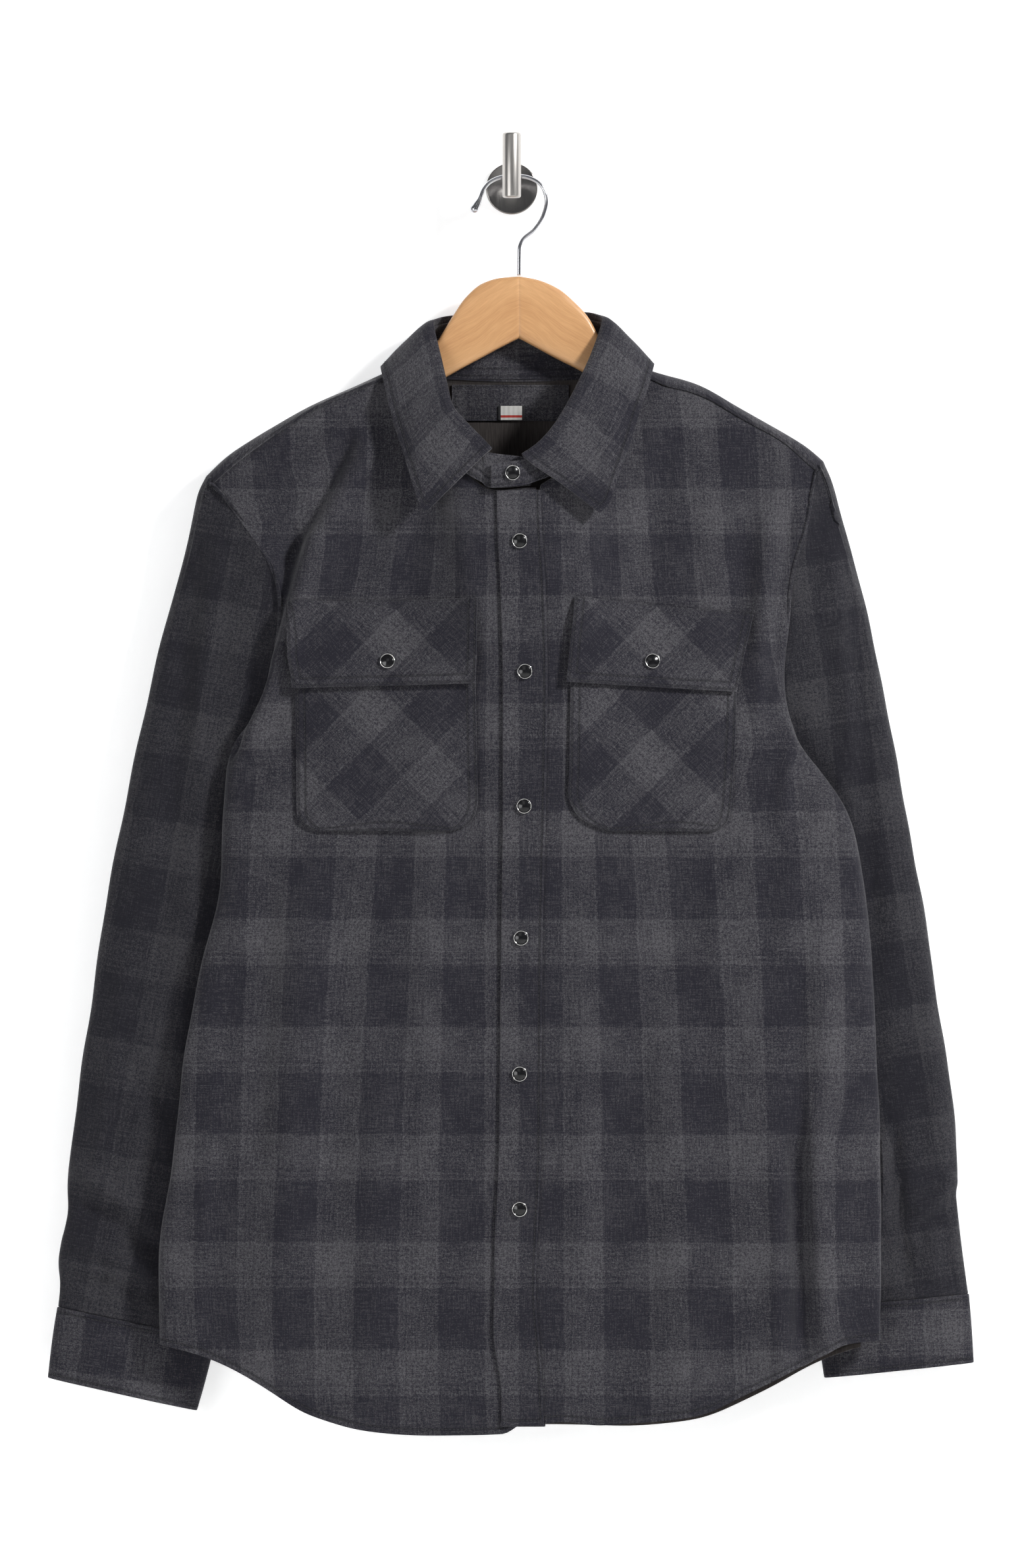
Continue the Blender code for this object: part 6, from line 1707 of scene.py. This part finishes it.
left_wood = arm("hanger_left_arm_wood", LEFT_ARM)
right_wood = arm("hanger_right_arm_wood", RIGHT_ARM)

# %% [markdown]
# The hook is bent wire with a ball at its tip: a circle carried along a path in one upright plane. Two
# directions square to the path hold the circle, and one of them is always straight out of that plane.

# %% Hanger wire
WIRE_RADIUS, TIP_RADIUS, WIRE_ROUND = 1.5, 3.4, 20
DROP_LENGTH = 7.0
HOOK_WIRE = table("x z", """
    5.3 -64.8, 5.6 -45, 7.5 -39.5, 17 -30.8, 23.1 -20.7, 25.5 -10.6, 24 -3, 18.5 4, 10 7.4, 1.5 8.35, -8 7,
    -16 3.4, -21 -2.6, -23.8 -9.6, -25.6 -13
""")
path = np.stack([HOOK_WIRE["x"], np.full(len(HOOK_WIRE["x"]), WOOD_Y), HOOK_WIRE["z"]], axis=1)
path = along(path, 150)
heading = unit(path[-1] - path[-2])
ball_share = np.linspace(-0.88, 0.995, 18)
ball = path[-1] + heading * TIP_RADIUS + np.outer(ball_share * TIP_RADIUS, heading)
ball_radius = np.maximum(np.sqrt(1 - ball_share**2) * TIP_RADIUS, 0.3)
to_end = np.linalg.norm(path[:-1] - path[-1], axis=1)
swell = np.clip(1 - to_end / DROP_LENGTH, 0, 1) ** 1.5
wire_radius = WIRE_RADIUS + swell * (TIP_RADIUS * 0.86 - WIRE_RADIUS)
line = np.vstack([path[:-1], ball[4:]])
ball_least = np.where(ball_share[4:] < 0, wire_radius[-1], 0.3)
radius = np.concatenate([wire_radius, np.maximum(ball_radius[4:], ball_least)])
straight_out = np.array([0.0, -1.0, 0.0])
beside = np.cross(unit(np.gradient(line, axis=0)), straight_out)
turn = np.linspace(0, 2 * math.pi, WIRE_ROUND, endpoint=False)
ring = beside[:, None] * np.cos(turn)[:, None] + straight_out * np.sin(turn)[:, None]
tube = line[:, None] + ring * radius[:, None, None]
wire = new_mesh("hanger_wire_bright", tube.reshape(-1, 3) * MM, turned_faces(len(tube), WIRE_ROUND), [chrome])

# %% [markdown]
# ## The wall hook
# The plate and its post are turned round the axis into the wall, and the upright peg is turned round its
# own. On the real one they are welded, so here the two turned shapes are one mesh that overlaps inside.

# %% Wall hook
PLATE_RADIUS, PLATE_THICK, POST_RADIUS = 19.0, 4.0, 6.3
PEG_RADIUS, PEG_Y, PEG_TOP, PEG_BOTTOM, PEG_ROUND = 6.75, -48.0, 38.5, -9.1, 1.6
HOOK_ROUND = 64


def rounded(corner, radius, start, steps=5):
    """Quarter circle of a radius about a corner's centre, from the angle start."""
    bend = start + np.linspace(0, math.pi / 2, steps)
    return np.stack([corner[0] + radius * np.cos(bend), corner[1] + radius * np.sin(bend)], axis=1)


plate_profile = np.vstack([
    (0.02, 0.0), (PLATE_RADIUS - 0.3, 0.0), (PLATE_RADIUS, 0.3),
    rounded((PLATE_RADIUS - 1.0, PLATE_THICK - 1.0), 1.0, 0.0),
    (POST_RADIUS + 1.0, PLATE_THICK), (POST_RADIUS + 0.3, PLATE_THICK + 0.3), (POST_RADIUS, PLATE_THICK + 1.0),
    (POST_RADIUS, -PEG_Y), (0.02, -PEG_Y),
])
peg_profile = np.vstack([
    (0.02, PEG_BOTTOM), rounded((PEG_RADIUS - PEG_ROUND, PEG_BOTTOM + PEG_ROUND), PEG_ROUND, -math.pi / 2),
    rounded((PEG_RADIUS - PEG_ROUND, PEG_TOP - PEG_ROUND), PEG_ROUND, 0.0), (0.02, PEG_TOP),
])
into_wall = np.array([[1.0, 0.0, 0.0], [0.0, 0.0, 1.0], [0.0, -1.0, 0.0]])
plate_grid = turned(plate_profile, HOOK_ROUND) @ into_wall
peg_grid = turned(peg_profile, HOOK_ROUND) + np.array([0.0, PEG_Y, 0.0])
hook_points = np.concatenate([plate_grid.reshape(-1, 3), peg_grid.reshape(-1, 3)]) * MM
peg_faces = [[corner + plate_grid.shape[0] * HOOK_ROUND for corner in face]
             for face in turned_faces(len(peg_grid), HOOK_ROUND)]
plate_faces = turned_faces(len(plate_grid), HOOK_ROUND)
# The plate faces take the darker nickel, painted shade, and the peg faces the lighter, painted highlight.
hook = new_mesh("wall_hook_nickel", hook_points, plate_faces + peg_faces, [nickel, peg_painted_highlight_nickel])
finish_of_face = np.repeat([0, 1], [len(plate_faces), len(peg_faces)]).astype(np.int32)
hook.data.polygons.foreach_set("material_index", finish_of_face)
for metal in [hook, wire, left_wood, right_wood, *snaps.values()]:
    metal.data.update()
    metal.data.validate()

# %% [markdown]
# Turned meshes can come out with their faces pointing in. The volumes under a closed mesh's triangles add
# up to a positive sum when its faces point out, so we flip the mesh if the sum is negative.

# %% Faces point outwards
def signed_volume(piece):
    """Sum over triangles of a . (b x c) / 6, which is the volume inside if all faces point outwards."""
    mesh = piece.data
    mesh.calc_loop_triangles()
    corners = np.empty(len(mesh.loop_triangles) * 3, dtype=np.int32)
    mesh.loop_triangles.foreach_get("vertices", corners)
    points = np.empty(len(mesh.vertices) * 3)
    mesh.vertices.foreach_get("co", points)
    a, b, c = points.reshape(-1, 3)[corners.reshape(-1, 3)].transpose(1, 0, 2)
    return float(np.einsum("ij,ij->i", a, np.cross(b, c)).sum() / 6)


for piece in [hook, wire, left_wood, right_wood, *snaps.values(), *sewing.values()]:
    if signed_volume(piece) < 0:
        piece.data.flip_normals()
        print("Flipped", piece.name)

# %% [markdown]
# ## Tell the frame what each piece is
# Every piece rides on the one body, and the CAD part that it stands for is hidden. The table below gives
# each cloth piece the size of its flat cut, round the whole tube on a sleeve and without seam allowances.
# The sizes were measured on the finished grids and on the outer faces in the export.

# %% Bodies and hidden CAD parts
FACTS = {
    "front_under": (front_under, 0.309, 0.771, 0.184),
    "front_over": (front_over, 0.294, 0.764, 0.173),
    "placket": (placket_cloth, 0.033, 0.684, 0.0213),
    "back": (back_cloth, 0.532, 0.679, 0.299),
    "yoke": (yoke_cloth, 0.531, 0.121, 0.041),
    "sleeve_left": (sleeve_left, 0.507, 0.619, 0.126),
    "sleeve_right": (sleeve_right, 0.511, 0.62, 0.106),
    "cuff_left": (cuffs["left"][0], 0.251, 0.054, 0.0131),
    "cuff_right": (cuffs["right"][0], 0.242, 0.052, 0.0123),
    "collar_leaf": (leaf_cloth, 0.505, 0.077, 0.027),
    "collar_stand": (stand_cloth, 0.524, 0.049, 0.015),
    "neck_facing": (strip_piece, 0.0865, 0.027, 0.0023),
    "neck_label": (tag_piece, 0.0196, 0.0104, 0.0002),
    "pocket_left": (pieces_on_bias["pocket_left"][0], 0.135, 0.16, 0.0198),
    "flap_left": (pieces_on_bias["flap_left"][0], 0.144, 0.065, 0.0089),
    "pocket_right": (pieces_on_bias["pocket_right"][0], 0.125, 0.167, 0.018),
    "flap_right": (pieces_on_bias["flap_right"][0], 0.134, 0.063, 0.0079),
}
for name, (piece, width, length, area) in FACTS.items():
    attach(piece, "root")
    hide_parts(name)
    [sewing[name]] if name in sewing else []
for name, piece in sewing.items():
    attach(piece, "root")
for name, piece, slot in (
    *((name, piece, "snap_metal") for name, piece in snaps.items()),
    ("hanger_left_arm", left_wood, "beech"), ("hanger_right_arm", right_wood, "beech"),
    ("hanger_wire", wire, "wire_chrome"), ("wall_hook", hook, "brushed_nickel"),
):
    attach(piece, "root")
    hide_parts(name)

# %% [markdown]
# ## The studio
# The wall's material is see-through from behind, so that a camera behind it can look at the back of the
# garment.

# %% Wall and floor
WALL_HALF, WALL_Y, WALL_TOP, FLOOR_Z, ROOM_DEPTH = 3.2, 0.0006, 2.0, -1.35, 5.0


def flat_stage(name, low, high, finish):
    """One large rectangle of the studio, between two lines along x that are each given as y, z."""
    corners = [(-WALL_HALF, *low), (WALL_HALF, *low), (WALL_HALF, *high), (-WALL_HALF, *high)]
    new_mesh(name, corners, [(0, 1, 2, 3)], [finish], smooth_faces=False)


wall_paint, tree, shader = new_material(
    "wall_paint", Roughness=0.9, Specular_IOR_Level=0.1,
    Emission_Color=(1.0, 1.0, 1.0, 1.0), Emission_Strength=0.56,
)
speckled(shader, 3.0, (0.86, 0.86, 0.86), (0.88, 0.88, 0.88))
shaded, clear = Value(tree.nodes["Principled BSDF"].outputs[0]), node(tree, "BsdfTransparent")
from_behind = node(tree, "NewGeometry", output="Backfacing")
either = node(tree, "MixShader", {0: from_behind, 1: shaded, 2: clear})
put(tree.nodes["Material Output"].inputs["Surface"], either)
floor_paint, tree, shader = new_material("floor_paint", Roughness=0.85, Specular_IOR_Level=0.1)
speckled(shader, 3.0, (0.8, 0.8, 0.79), (0.83, 0.83, 0.82))
flat_stage("studio_wall", (WALL_Y, FLOOR_Z), (WALL_Y, WALL_TOP), wall_paint)
flat_stage("studio_floor", (-ROOM_DEPTH, FLOOR_Z), (ROOM_DEPTH, FLOOR_Z), floor_paint)

# %% [markdown]
# ## Light and camera
# The photograph has one light from the upper right in front and a weaker fill, with shadows that fall
# down and to the left. A lamp behind serves views of the back. The camera stands straight in front with a
# long lens.

# %% Lamps and world
AIM = Vector((0.0, -0.02, -0.45))


def lamp(name, place, size, watts):
    """Square area lamp at a place, turned to the garment's middle."""
    light = bpy.data.lights.new(name, "AREA")
    light.shape, light.size, light.energy = "SQUARE", size, watts
    made = bpy.data.objects.new(name, light)
    made.location = place
    made.rotation_euler = (AIM - Vector(place)).to_track_quat("-Z", "Y").to_euler()
    bpy.context.scene.collection.objects.link(made)


lamp("key_lamp", (2.3, -2.1, 1.25), 0.5, 100.0)
lamp("fill_lamp", (-1.7, -2.6, -0.5), 1.3, 20.0)
lamp("front_lamp", (-0.4, -3.6, 1.4), 1.6, 4.0)
lamp("back_lamp", (0.9, 2.6, 1.2), 1.8, 420.0)
world = bpy.data.worlds.new("studio_world")
bpy.context.scene.world = world
world.use_nodes = True
ambient = world.node_tree.nodes["Background"].inputs
ambient["Color"].default_value, ambient["Strength"].default_value = (0.9, 0.93, 1.0, 1.0), 0.12

# %% Camera
CAMERA_DISTANCE = 8.0
CENTRE_OF_VIEW = (-0.0005, -0.437)
FRAME_HEIGHT = 1.1442
SENSOR = 36.0
camera_data = bpy.data.cameras.new("photo_camera")
camera_data.sensor_width = SENSOR
camera_data.lens = SENSOR * CAMERA_DISTANCE / FRAME_HEIGHT
camera = bpy.data.objects.new("photo_camera", camera_data)
camera.location = (CENTRE_OF_VIEW[0], -0.05 - CAMERA_DISTANCE, CENTRE_OF_VIEW[1])
camera.rotation_euler = (math.pi / 2, 0.0, 0.0)
bpy.context.scene.collection.objects.link(camera)
bpy.context.scene.camera = camera
bpy.context.scene.view_settings.view_transform = "Standard"
print("Lens in millimetres:", round(camera_data.lens, 1))
